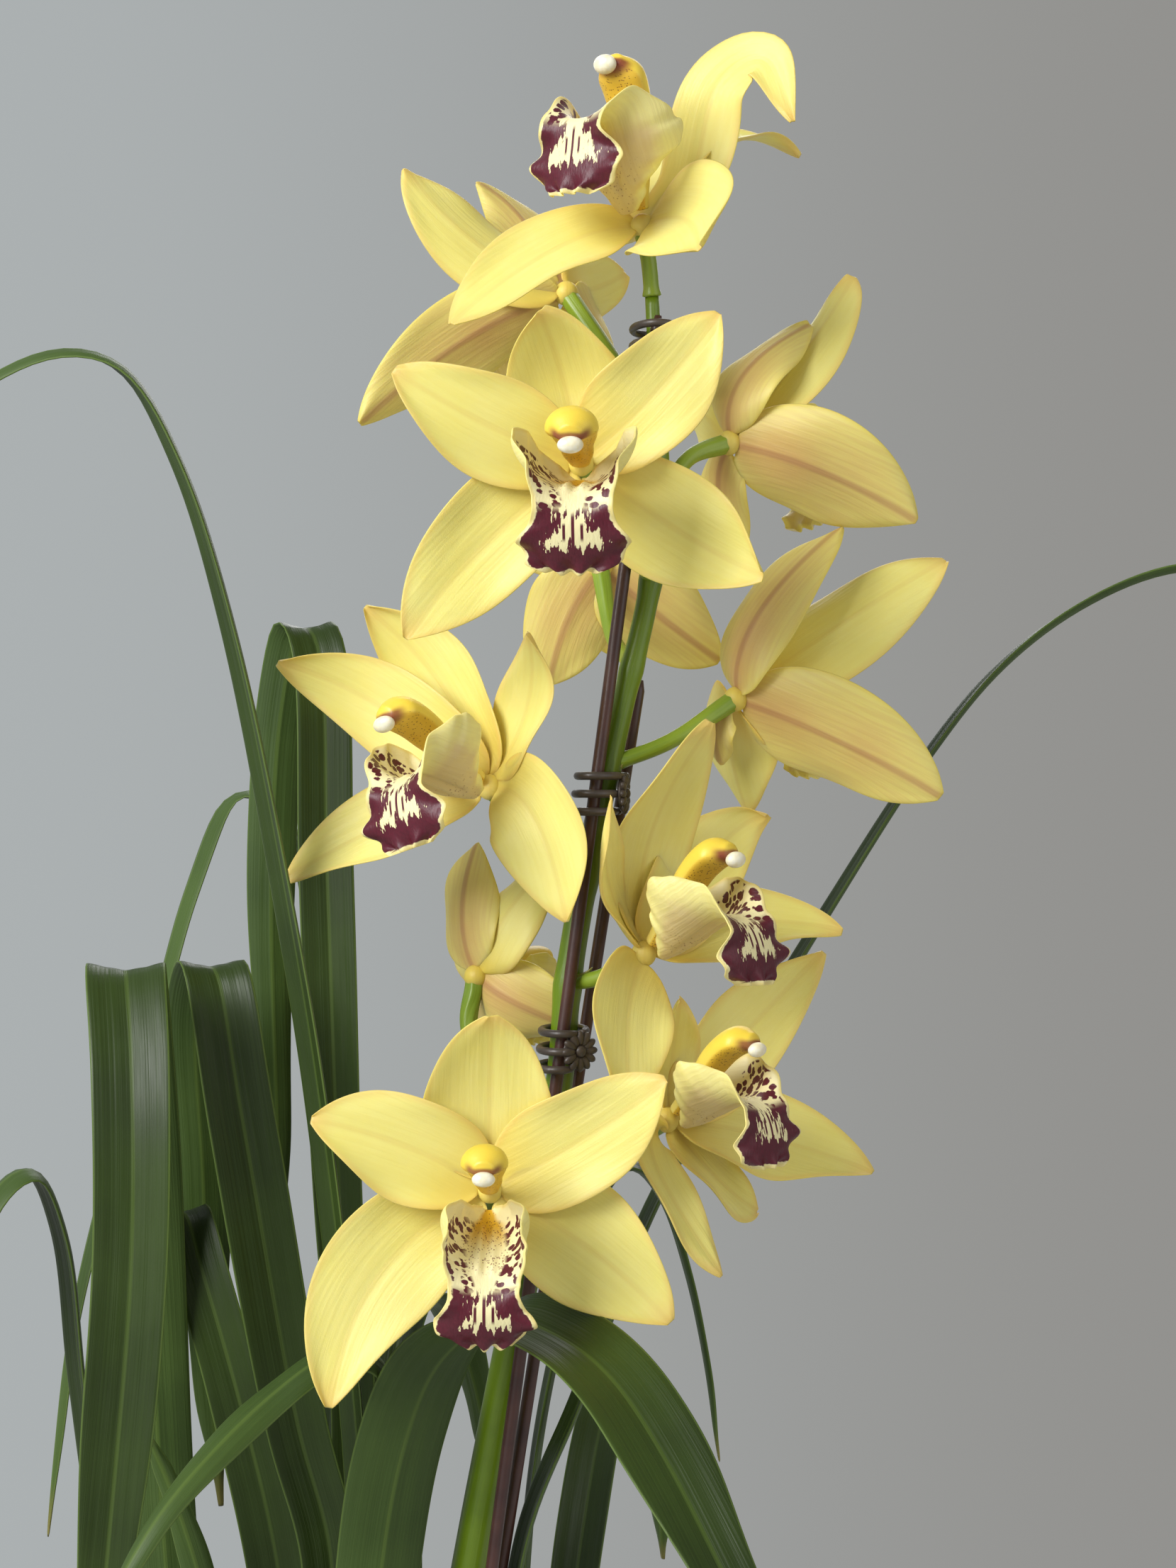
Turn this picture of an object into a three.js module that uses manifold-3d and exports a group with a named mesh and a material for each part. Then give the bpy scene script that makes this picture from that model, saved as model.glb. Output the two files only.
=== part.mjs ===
// A potted Cymbidium orchid in flower: one leaning spike with eleven flowers, two support stakes
// with their clips, strap leaves on pseudobulbs, bark potting mix and a plain round pot.
// Millimetres, +Z up, X to the viewer's right, -Y towards the viewer, origin under the pot.

import * as THREE from 'three';
import { mergeVertices } from 'three/addons/utils/BufferGeometryUtils.js';
import Module from 'manifold-3d';

const wasm = await Module();
wasm.setup();

// ---- driving dimensions -----------------------------------------------------------------------

const CLEARANCE = 0.3; // between pieces that touch

const POT_HEIGHT = 180;
const POT_TOP_RADIUS = 98;
const POT_BASE_RADIUS = 74;
const POT_WALL = 4;
const POT_FLOOR = 6;
const POT_RIM_HEIGHT = 22;
const POT_RIM_STEP = 4; // how far the rim band stands out from the wall
const MIX_BELOW_RIM = 15;
const MIX_LEVEL = POT_HEIGHT - MIX_BELOW_RIM; // height of the potting mix surface
const RISE = MIX_LEVEL - 165; // the plant's heights below are drawn for mix 165 mm up

const BULB_RADIUS = 19;
const BULB_HEIGHT = 62;

const SPIKE_BASE_RADIUS = 6.4;
const SPIKE_MIDDLE_RADIUS = 4.2;
const SPIKE_TIP_RADIUS = 2.2;

const STAKE_RADIUS = 2;
const STAKE_DEPTH = 110; // how far the stakes are pushed into the mix

const CLIP_WIRE_RADIUS = 1.3;
const CLIP_ROOM = 1.4; // from the widest piece inside a loop to its wire
const CLIP_FINGERS = 3;
const CLIP_FINGER_PITCH = 5.5;
const MEDALLION_RADIUS = 6.5;
const MEDALLION_THICKNESS = 2.6;
const MEDALLION_PETALS = 10;

const PEDICEL_RADIUS = 2.5;
const OVARY_RADIUS = 3.1;
const HUB_RADIUS = 4.4; // where the tepals, lip and column of a flower meet
const TEPAL_THICKNESS = 1.2;
const LIP_THICKNESS = 1.3;
const LEAF_THICKNESS = 1.5;

// ---- small helpers ----------------------------------------------------------------------------

const vec = (xyz) => new THREE.Vector3(...xyz);
const grown = ([x, y, z]) => new THREE.Vector3(x, y, z + RISE); // a place on the plant

// Smooth interpolation through [position, value] pairs.
function keyed(pairs) {
  return (t) => {
    const after = pairs.findIndex(([at]) => at >= t);
    if (after === 0) return pairs[0][1];
    if (after < 0) return pairs[pairs.length - 1][1];
    const [t0, v0] = pairs[after - 1];
    const [t1, v1] = pairs[after];
    const share = (t - t0) / (t1 - t0);
    return v0 + ((v1 - v0) * (1 - Math.cos(Math.PI * share))) / 2;
  };
}

const smoothCurve = (points) => new THREE.CatmullRomCurve3(points, false, 'centripetal');

// A curve from start to end that passes through `via` half way.
function arcThrough(start, via, end) {
  const control = via.clone().multiplyScalar(2).addScaledVector(start, -0.5).addScaledVector(end, -0.5);
  return new THREE.QuadraticBezierCurve3(start, control, end);
}

// Point, tangent, sideways and outward directions of a curve, with `across` as the sideways hint.
function frameAt(curve, t, across) {
  const tangent = curve.getTangentAt(t);
  const side = across.clone().addScaledVector(tangent, -across.dot(tangent)).normalize();
  const outward = tangent.clone().cross(side);
  return { point: curve.getPointAt(t), tangent, side, outward };
}

// Moves every vertex of a geometry to where `place(x, y, z)` says.
function reshaped(geometry, place) {
  const position = geometry.attributes.position;
  for (let i = 0; i < position.count; i += 1) {
    const p = place(position.getX(i), position.getY(i), position.getZ(i));
    position.setXYZ(i, p.x, p.y, p.z);
  }
  geometry.computeVertexNormals();
  return geometry;
}

// A round rod along a curve, its radius a function of the share of the way along.
function rod(curve, radiusAt, sides, steps, across = new THREE.Vector3(0, 1, 0)) {
  const cylinder = new THREE.CylinderGeometry(1, 1, 1, sides, steps);
  return reshaped(cylinder, (x, y, z) => {
    const t = y + 0.5;
    const { point, side, outward } = frameAt(curve, t, across);
    const radius = radiusAt(t);
    return point.addScaledVector(outward, x * radius).addScaledVector(side, z * radius);
  });
}

// A thin blade along a curve. halfWidthAt is the half width measured over the curved section and
// bendAt the angle that each half of the section turns through.
function blade(curve, { acrossAt, halfWidthAt, bendAt, thickness, columns, rows }) {
  const box = new THREE.BoxGeometry(2, 1, 1, columns, rows, 1);
  return reshaped(box, (x, y, z) => {
    const t = y + 0.5;
    const { point, side, outward } = frameAt(curve, t, acrossAt(t));
    const bend = Math.abs(bendAt(t)) < 0.01 ? 0.01 : bendAt(t);
    const radius = halfWidthAt(t) / bend;
    const angle = x * bend;
    const lift = -z * thickness; // the box's z runs against the outward direction
    return point
      .addScaledVector(side, radius * Math.sin(angle) - lift * Math.sin(angle))
      .addScaledVector(outward, radius * (1 - Math.cos(angle)) + lift * Math.cos(angle));
  });
}

// ---- solids -----------------------------------------------------------------------------------

function toSolid(geometry) {
  const bare = geometry.clone();
  bare.deleteAttribute('normal');
  bare.deleteAttribute('uv');
  const merged = mergeVertices(bare, 1e-4);
  const vertProperties = new Float32Array(merged.attributes.position.array);
  const triVerts = new Uint32Array(merged.index.array);
  const solid = new wasm.Manifold(new wasm.Mesh({ numProp: 3, vertProperties, triVerts }));
  return solid;
}

function toGeometry(solid) {
  const mesh = solid.getMesh();
  const geometry = new THREE.BufferGeometry();
  geometry.setAttribute('position', new THREE.Float32BufferAttribute(mesh.vertProperties, 3));
  geometry.setIndex(new THREE.Uint32BufferAttribute(mesh.triVerts, 1));
  geometry.computeVertexNormals();
  return geometry;
}

// Cuts `tool` away and leaves out the slivers that come off on the tool's far side.
function trimmed(solid, tool) {
  const pieces = solid.subtract(tool).decompose();
  return pieces.reduce((largest, piece) => (piece.volume() > largest.volume() ? piece : largest));
}

const joined = (geometries) => geometries.map(toSolid).reduce((whole, piece) => whole.add(piece));

// ---- materials --------------------------------------------------------------------------------

const finish = (color, roughness) => new THREE.MeshStandardMaterial({ color, roughness, metalness: 0 });
const tepalYellow = finish(0xe8d873, 0.55);
const lipCream = finish(0xe9dba0, 0.5);
const columnYellow = finish(0xdcb93c, 0.45);
const leafGreen = finish(0x2f5422, 0.42);
const spikeGreen = finish(0x6d9c1f, 0.4);
const bulbGreen = finish(0x6b8440, 0.55);
const stakeBrown = finish(0x3a211f, 0.5);
const clipBrown = finish(0x3b342f, 0.45);
const barkBrown = finish(0x4a3221, 0.95);
const potClay = finish(0xd9d5cc, 0.5);

const orchid = new THREE.Group();

function addPiece(name, geometry, material) {
  const mesh = new THREE.Mesh(geometry, material);
  mesh.name = name;
  orchid.add(mesh);
}

// ---- spike and stakes -------------------------------------------------------------------------

const spikeCurve = smoothCurve([
  [-7, 0, 165 + CLEARANCE],
  [-6.6, 0, 185],
  [2, 0, 250],
  [27, 0, 391],
  [37, 0, 445],
  [55, 0, 542],
  [58, 0, 575],
  [66, 0, 620],
  [75, 0, 660],
  [83, 0, 695],
  [86, 0, 722],
  [85, 0, 765],
  [84, 0, 787],
].map(grown));
const spikeRadiusAt = keyed([
  [0, SPIKE_BASE_RADIUS],
  [0.35, 5.6],
  [0.65, SPIKE_MIDDLE_RADIUS],
  [0.85, 0.81 * SPIKE_MIDDLE_RADIUS],
  [1, SPIKE_TIP_RADIUS],
]);

// The spike leans over steadily, so a height picks one point on it.
function spikePointAt(height) {
  let low = 0;
  let high = 1;
  for (let halving = 0; halving < 20; halving += 1) {
    const middle = (low + high) / 2;
    if (spikeCurve.getPointAt(middle).z < height + RISE) low = middle;
    else high = middle;
  }
  return spikeCurve.getPointAt(low);
}

addPiece('flower_spike', rod(spikeCurve, spikeRadiusAt, 10, 20), spikeGreen);
const spikeTip = spikeCurve.getPointAt(1).addScaledVector(spikeCurve.getTangentAt(1), CLEARANCE);
const spikeKeepOut = toSolid(rod(spikeCurve, (t) => spikeRadiusAt(t) + CLEARANCE, 10, 20));

// Each stake is straight; its line is given where it leaves the mix and at its top. They stand in
// front of the spike and behind it, clear of its thickness.
const besideBase = SPIKE_BASE_RADIUS + STAKE_RADIUS;
const besideMiddle = SPIKE_MIDDLE_RADIUS + STAKE_RADIUS;
const stakes = [
  { name: 'support_stake_front', foot: [4, -besideBase - 2.6, 165], top: [85.8, 0.7 - besideMiddle, 780] },
  { name: 'support_stake_rear', foot: [2, besideBase + 3.6, 165], top: [80.5, besideMiddle + 4.8, 668] },
];

function stakeLine({ foot, top }) {
  const down = vec(foot).sub(vec(top)).normalize();
  const buried = grown(foot).addScaledVector(down, STAKE_DEPTH);
  return new THREE.LineCurve3(buried, grown(top));
}

for (const stake of stakes) {
  addPiece(stake.name, rod(stakeLine(stake), () => STAKE_RADIUS, 10, 1), stakeBrown);
}

// ---- stake clips ------------------------------------------------------------------------------

// A clip's claw fingers go round the spike and a stake as open oval loops, and its flower
// medallion sits outside the loops, facing `facing` degrees round from the viewer.
const clips = [
  { name: 'stake_clip_lower', height: 553, stake: 0, facing: 35 },
  { name: 'stake_clip_middle', height: 632, stake: 0, facing: 80 },
  { name: 'stake_clip_upper', height: 771, stake: 0, facing: 60 },
];

function stakePointAt(stake, height) {
  const foot = grown(stake.foot);
  const top = grown(stake.top);
  return foot.lerp(top, (height + RISE - foot.z) / (top.z - foot.z));
}

// How far an oval loop reaches from its middle in one direction; its long axis points `along`.
function ovalReach(angle, { reach, breadth, along }) {
  return 1 / Math.hypot(Math.cos(angle - along) / reach, Math.sin(angle - along) / breadth);
}

function fingerLoop(oval, facing) {
  // The loop's two ends stop behind the medallion, this far round from its middle.
  const opening = (0.25 * MEDALLION_RADIUS) / ovalReach(facing, oval);
  const STRETCHES = 14;
  const points = [];
  for (let i = 0; i <= STRETCHES; i += 1) {
    const angle = facing + opening + ((2 * Math.PI - 2 * opening) * i) / STRETCHES;
    const out = ovalReach(angle, oval);
    points.push(oval.centre.clone().add(new THREE.Vector3(out * Math.cos(angle), out * Math.sin(angle), 0)));
  }
  const section = new THREE.Shape();
  section.absarc(0, 0, CLIP_WIRE_RADIUS, 0, 2 * Math.PI, false);
  return new THREE.ExtrudeGeometry(section, {
    steps: 14,
    curveSegments: 2,
    bevelEnabled: false,
    extrudePath: smoothCurve(points),
  });
}

function medallion(centre, facing) {
  const outline = new THREE.Shape();
  const points = 2 * MEDALLION_PETALS;
  for (let i = 0; i < points; i += 1) {
    const radius = MEDALLION_RADIUS * (i % 2 === 0 ? 1 : 0.86);
    const angle = (2 * Math.PI * i) / points;
    outline[i === 0 ? 'moveTo' : 'lineTo'](radius * Math.cos(angle), radius * Math.sin(angle));
  }
  const disc = new THREE.ExtrudeGeometry(outline, { depth: MEDALLION_THICKNESS, bevelEnabled: false });
  disc.rotateX(Math.PI / 2);
  disc.rotateZ(facing + Math.PI / 2);
  disc.translate(centre.x, centre.y, centre.z);
  return disc;
}

function stakeClip({ height, stake, facing }) {
  const breadth = SPIKE_MIDDLE_RADIUS + CLIP_ROOM + CLIP_WIRE_RADIUS;
  const out = THREE.MathUtils.degToRad(facing - 90);
  const ovalAt = (level) => {
    const stem = spikePointAt(level);
    const spread = stakePointAt(stakes[stake], level).sub(stem);
    const centre = stem.addScaledVector(spread, 0.5);
    return { centre, breadth, reach: spread.length() / 2 + breadth, along: Math.atan2(spread.y, spread.x) };
  };
  const loops = [];
  for (let finger = 0; finger < CLIP_FINGERS; finger += 1) {
    const oval = ovalAt(height + (finger - (CLIP_FINGERS - 1) / 2) * CLIP_FINGER_PITCH);
    loops.push(fingerLoop(oval, out));
  }
  const middle = ovalAt(height);
  const outwards = new THREE.Vector3(Math.cos(out), Math.sin(out), 0);
  const seat = middle.centre.clone().addScaledVector(outwards, ovalReach(out, middle) - CLIP_WIRE_RADIUS / 2);
  return toGeometry(joined([medallion(seat, out), ...loops]));
}

for (const clip of clips) addPiece(clip.name, stakeClip(clip), clipBrown);

// ---- flowers ----------------------------------------------------------------------------------

// Places are from the flower's hub, in millimetres. `column` is the way its column points, `up`
// leans towards the dorsal sepal. The pedicel leaves the spike at `leaves` and goes by `by`. Each
// tepal has the places that it passes, its tip, its width and, where it turns away from the
// column's direction, the way that its face looks.
const flowers = [
  {
    hub: [81, -4, 808], column: [-15, -23, 43], up: [0.6, 0.6, 0.53], lipScale: 1.1, lip: 'recurved',
    leaves: 'tip', by: [[83, -2, 797]],
    tepals: {
      dorsal_sepal: {
        via: [[15, 12, 15], [24, 6, 46], [37, 2, 53]], tip: [46, -8, 30], width: 22, face: [-0.35, -0.9, 0.2],
      },
      petal_left: { via: [[-6, 34, 4]], tip: [-24, 58, 14], width: 24 },
      petal_right: { via: [[26, 34, 36]], tip: [53, 44, 34], width: 28 },
      lateral_sepal_left: { via: [[-27, -8, -9]], tip: [-58, -22, -35], width: 28, face: [0.1, -0.7, 0.7] },
      lateral_sepal_right: {
        via: [[12, -20, -3]], tip: [16, -36, -16], width: 38, face: [-0.63, -0.47, 0.61],
      },
    },
  },
  {
    hub: [57, 26, 794], column: [-34, 30, 2], up: [0, -0.3, 0.95], lipScale: 0.9, lip: 'level',
    leaves: 738, by: [[77, 14, 762]],
    tepals: {
      dorsal_sepal: { via: [[-15, 14, 27]], tip: [-30, 14, 40], width: 28 },
      petal_left: { via: [[-30, -6, 15]], tip: [-52, -6, 39], width: 27 },
      petal_right: { via: [[10, 26, 8]], tip: [20, 44, 17], width: 26 },
      lateral_sepal_left: { via: [[-34, -6, -17]], tip: [-66, -10, -44], width: 28 },
      lateral_sepal_right: { via: [[10, 30, -16]], tip: [12, 50, -36], width: 28 },
    },
  },
  {
    hub: [62, -42, 729], column: [-3, -48, -6], up: [0, 0, 1], lipScale: 1, lip: 'level',
    leaves: 700, by: [[76, -22, 708]],
    tepals: {
      dorsal_sepal: { via: [[-4, -2, 24]], tip: [-12, -14, 42], width: 37 },
      petal_left: { via: [[-27, -8, 10]], tip: [-54, -12, 25], width: 29 },
      petal_right: { via: [[20, -4, 18]], tip: [40, -8, 42], width: 30 },
      lateral_sepal_left: { via: [[-29, -2, -25]], tip: [-51, -6, -52], width: 32 },
      lateral_sepal_right: { via: [[30, -2, -21]], tip: [52, -20, -35], width: 32 },
    },
  },
  {
    hub: [109, 16, 744], column: [38, 30, 4], up: [-0.2, 0.1, 0.95], lipScale: 0.9, lip: 'level',
    leaves: 722, by: [[96, 8, 738]],
    tepals: {
      dorsal_sepal: { via: [[5, -2, 21]], tip: [27, 6, 39], width: 26 },
      petal_left: { via: [[26, 6, 31]], tip: [42, 16, 57], width: 28 },
      petal_right: { via: [[-8, 20, 14]], tip: [-14, 40, 20], width: 24 },
      lateral_sepal_left: { via: [[-2, 9, -16]], tip: [6, 12, -38], width: 20 },
      lateral_sepal_right: { via: [[30, -10, -11]], tip: [59, -8, -26], width: 35 },
    },
  },
  {
    hub: [111, 12, 662], column: [38, 29, 5], up: [0, 0, 0.98], lipScale: 0.9, lip: 'level',
    leaves: 641, by: [[89, 4, 648]],
    tepals: {
      dorsal_sepal: { via: [[7, -6, 26]], tip: [34, 2, 55], width: 26 },
      petal_left: { via: [[0, 18, -15]], tip: [6, 26, -37], width: 34 },
      petal_right: { via: [[36, 2, 25]], tip: [68, 8, 45], width: 32 },
      lateral_sepal_left: { via: [[-6, 3, -8]], tip: [-4, 8, -21], width: 15 },
      lateral_sepal_right: { via: [[33, -10, -14]], tip: [64, -8, -31], width: 36 },
    },
  },
  {
    hub: [34, -14, 634], column: [-30, -31, 15], up: [0, 0.4, 0.9], lipScale: 1, lip: 'level',
    leaves: 607, by: [[50, -10, 618]],
    tepals: {
      dorsal_sepal: { via: [[-16, 18, 32]], tip: [-40, 18, 57], width: 30 },
      petal_left: { via: [[-36, 12, 26]], tip: [-66, 8, 39], width: 27 },
      petal_right: { via: [[12, -2, 26]], tip: [12, -8, 47], width: 24 },
      lateral_sepal_left: { via: [[-30, 10, -10]], tip: [-64, 10, -29], width: 28 },
      lateral_sepal_right: { via: [[14, -14, -9]], tip: [24, -20, -40], width: 30 },
    },
  },
  {
    hub: [81, -14, 583], column: [29, -24, 27], up: [-0.35, 0.35, 0.87], lipScale: 1, lip: 'level',
    leaves: 573, by: [[67, -7, 575]],
    tepals: {
      dorsal_sepal: { via: [[2, 12, 35]], tip: [21, 0, 71], width: 30 },
      petal_left: { via: [[-11, -8, 23]], tip: [-10, -26, 48], width: 20 },
      petal_right: { via: [[25, 30, 32]], tip: [41, 32, 42], width: 28 },
      lateral_sepal_left: { via: [[-5, -14, -17]], tip: [-5, -26, -43], width: 30 },
      lateral_sepal_right: { via: [[31, 24, 8]], tip: [64, 26, 5], width: 26 },
    },
  },
  {
    hub: [88, -12, 532], column: [30, -26, 23], up: [-0.3, 0.3, 0.9], lipScale: 0.92, lip: 'level',
    leaves: 520, by: [[68, -7, 520]],
    tepals: {
      dorsal_sepal: { via: [[2, 6, 19]], tip: [4, 2, 37], width: 20 },
      petal_left: { via: [[-4, -12, -11]], tip: [16, -18, -44], width: 18 },
      petal_right: { via: [[29, 30, 26]], tip: [52, 36, 49], width: 28 },
      lateral_sepal_left: { via: [[18, 12, -22]], tip: [30, 26, -33], width: 22 },
      lateral_sepal_right: { via: [[33, 22, -9]], tip: [66, 20, -20], width: 32 },
    },
  },
  {
    hub: [35, -36, 515], column: [0, -48, 8], up: [0, 0, 1], lipScale: 0.9, lip: 'hanging',
    leaves: 500, by: [[38, -8, 500], [36, -24, 505]],
    tepals: {
      dorsal_sepal: { via: [[0, 0, 28]], tip: [1, -14, 53], width: 38 },
      petal_left: { via: [[-25, -5, 14]], tip: [-52, -8, 22], width: 30 },
      petal_right: { via: [[26, -5, 15]], tip: [52, -12, 34], width: 31 },
      lateral_sepal_left: { via: [[-32, -4, -24]], tip: [-46, -16, -60], width: 34 },
      lateral_sepal_right: { via: [[30, -4, -17]], tip: [53, -10, -37], width: 34 },
    },
  },
  {
    hub: [28, 20, 573], column: [32, 32, -3], up: [-0.25, 0, 0.97], lipScale: 0.7, lip: 'level',
    leaves: 533, by: [[36, 12, 540], [26, 17, 556]],
    tepals: {
      dorsal_sepal: { via: [[-4, 2, 21]], tip: [0, 8, 43], width: 26 },
      petal_left: { via: [[11, -7, 21]], tip: [25, -3, 38], width: 24 },
      petal_right: { via: [[-2, 26, 16]], tip: [4, 44, 26], width: 24 },
      lateral_sepal_left: { via: [[-2, 24, -14]], tip: [2, 42, -26], width: 24 },
      lateral_sepal_right: { via: [[14, -7, -8]], tip: [33, -5, -16], width: 26 },
    },
  },
  {
    hub: [68, 34, 706], column: [0, 48, 6], up: [0, 0.1, 1], lipScale: 0.95, lip: 'level',
    leaves: 672, by: [[72, 18, 682]],
    tepals: {
      dorsal_sepal: { via: [[0, 2, 24]], tip: [1, 10, 46], width: 30 },
      petal_left: { via: [[-20, 4, 13]], tip: [-44, 12, 22], width: 28 },
      petal_right: { via: [[17, 12, 18]], tip: [32, 24, 28], width: 26 },
      lateral_sepal_left: { via: [[-11, 4, -18]], tip: [-17, 12, -38], width: 30 },
      lateral_sepal_right: { via: [[20, 4, -16]], tip: [40, 12, -30], width: 30 },
    },
  },
];

const tepalShare = (t) => Math.sin(Math.PI * t ** 0.86) ** 0.64 + 0.24 * (1 - t) ** 2;

function tepal(hub, forward, { via, tip, width, face }) {
  const start = hub.clone().addScaledVector(vec(via[0]).normalize(), HUB_RADIUS * 0.6);
  const places = [...via, tip].map((place) => hub.clone().add(vec(place)));
  const curve = via.length > 1 ? smoothCurve([start, ...places]) : arcThrough(start, ...places);
  const across = forward.clone().cross(vec(tip)).normalize();
  return blade(curve, {
    acrossAt: (t) => (face ? vec(face).cross(curve.getTangentAt(t)).normalize() : across),
    halfWidthAt: (t) => (width / 2) * Math.max(tepalShare(t), 0.08),
    bendAt: () => 0.4,
    thickness: TEPAL_THICKNESS,
    columns: 2,
    rows: 5,
  });
}

function perianth(flower, hub, forward) {
  const start = flower.leaves === 'tip' ? spikeTip : spikePointAt(flower.leaves);
  const pedicelCurve = smoothCurve([start, ...flower.by.map(grown), hub.clone()]);
  const pedicelRadius = keyed([[0, PEDICEL_RADIUS], [0.5, PEDICEL_RADIUS], [1, OVARY_RADIUS]]);
  const pieces = [
    new THREE.SphereGeometry(HUB_RADIUS, 8, 5).translate(hub.x, hub.y, hub.z),
    rod(pedicelCurve, pedicelRadius, 7, 5, new THREE.Vector3(0.3, 0.2, 1)),
    ...Object.values(flower.tepals).map((shape) => tepal(hub, forward, shape)),
  ];
  return toGeometry(trimmed(joined(pieces), spikeKeepOut));
}

// Lip and column are drawn in a plane through the flower: forward along the column, and up.
const LIP_FLOORS = {
  level: [[6, -5.5], [15, -7.5], [26, -8], [34, -9.5], [38, -15], [37, -23], [32, -31.5]],
  recurved: [[6, -5.5], [15, -8], [26, -8.5], [33, -9], [35.5, -13], [29, -18.5], [19.5, -25]],
  hanging: [[6, -6.5], [15, -14], [24, -21], [32, -29], [35, -36.5], [32, -43], [26, -48.5]],
};
const LIP_HALF_WIDTH = keyed([
  [0, 4], [0.08, 9], [0.18, 17], [0.3, 24], [0.42, 28], [0.5, 27], [0.55, 21], [0.6, 12], [0.66, 11.5],
  [0.83, 16.5], [0.94, 14], [1, 8],
]);
const LIP_BEND = keyed([
  [0, 1.2], [0.12, 1.6], [0.25, 1.75], [0.4, 1.6], [0.52, 1.4], [0.62, 0.5], [0.78, -0.2], [1, -0.5],
]);
const HANGING_CLASP = 1.3; // how much further the side lobes of a hanging lip turn inwards
const COLUMN_AXIS = [[HUB_RADIUS + 2 * CLEARANCE, 0], [14, 2.5], [24, 6], [33, 8.5], [40, 8.5], [45.5, 6]];
const COLUMN_RADIUS = keyed([[0, 3.2], [0.3, 4.8], [0.6, 6], [0.85, 6.2], [1, 3.4]]);

// A curve in the flower's own plane; `scale` grows it from the front of the hub.
function floralCurve(hub, axes, scale, points) {
  const places = points.map(([ahead, above]) => hub.clone()
    .addScaledVector(axes.forward, HUB_RADIUS + (ahead - HUB_RADIUS) * scale)
    .addScaledVector(axes.up, above * scale));
  return smoothCurve(places);
}

function lip(hub, axes, scale, kind) {
  return blade(floralCurve(hub, axes, scale, LIP_FLOORS[kind]), {
    acrossAt: () => axes.right,
    halfWidthAt: (t) => LIP_HALF_WIDTH(t) * scale,
    bendAt: (t) => LIP_BEND(t) * (kind === 'hanging' && t < 0.5 ? HANGING_CLASP : 1),
    thickness: LIP_THICKNESS,
    columns: 4,
    rows: 7,
  });
}

function column(hub, axes, scale) {
  return rod(floralCurve(hub, axes, scale, COLUMN_AXIS), (t) => COLUMN_RADIUS(t) * scale, 8, 5, axes.right);
}

function flowerAxes(flower) {
  const forward = vec(flower.column).normalize();
  const up = vec(flower.up).addScaledVector(forward, -vec(flower.up).dot(forward)).normalize();
  return { forward, up, right: up.clone().cross(forward) };
}

flowers.forEach((flower, index) => {
  const hub = grown(flower.hub);
  const axes = flowerAxes(flower);
  const number = String(index + 1).padStart(2, '0');
  addPiece(`flower_${number}_perianth`, perianth(flower, hub, axes.forward), tepalYellow);
  addPiece(`flower_${number}_lip`, lip(hub, axes, flower.lipScale, flower.lip), lipCream);
  addPiece(`flower_${number}_column`, column(hub, axes, flower.lipScale), columnYellow);
});

// ---- pseudobulbs and leaves -------------------------------------------------------------------

const bulbs = [
  { name: 'pseudobulb_left', at: [-36, 6] },
  { name: 'pseudobulb_back', at: [-4, 40] },
  { name: 'pseudobulb_front', at: [0, -38] },
  { name: 'pseudobulb_right', at: [38, 18] },
];
const bulbRadiusAt = keyed([[0, 0.8], [0.35, 1], [0.8, 0.62], [1, 0.3]]);

function bulb([x, y], grow) {
  const base = MIX_LEVEL + CLEARANCE - grow;
  const axis = new THREE.LineCurve3(vec([x, y, base]), vec([x, y, base + BULB_HEIGHT + 2 * grow]));
  return rod(axis, (t) => BULB_RADIUS * bulbRadiusAt(t) + grow, 12, 6);
}

for (const { name, at } of bulbs) addPiece(name, bulb(at, 0), bulbGreen);
const bulbKeepOut = joined(bulbs.map(({ at }) => bulb(at, CLEARANCE)));

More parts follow.
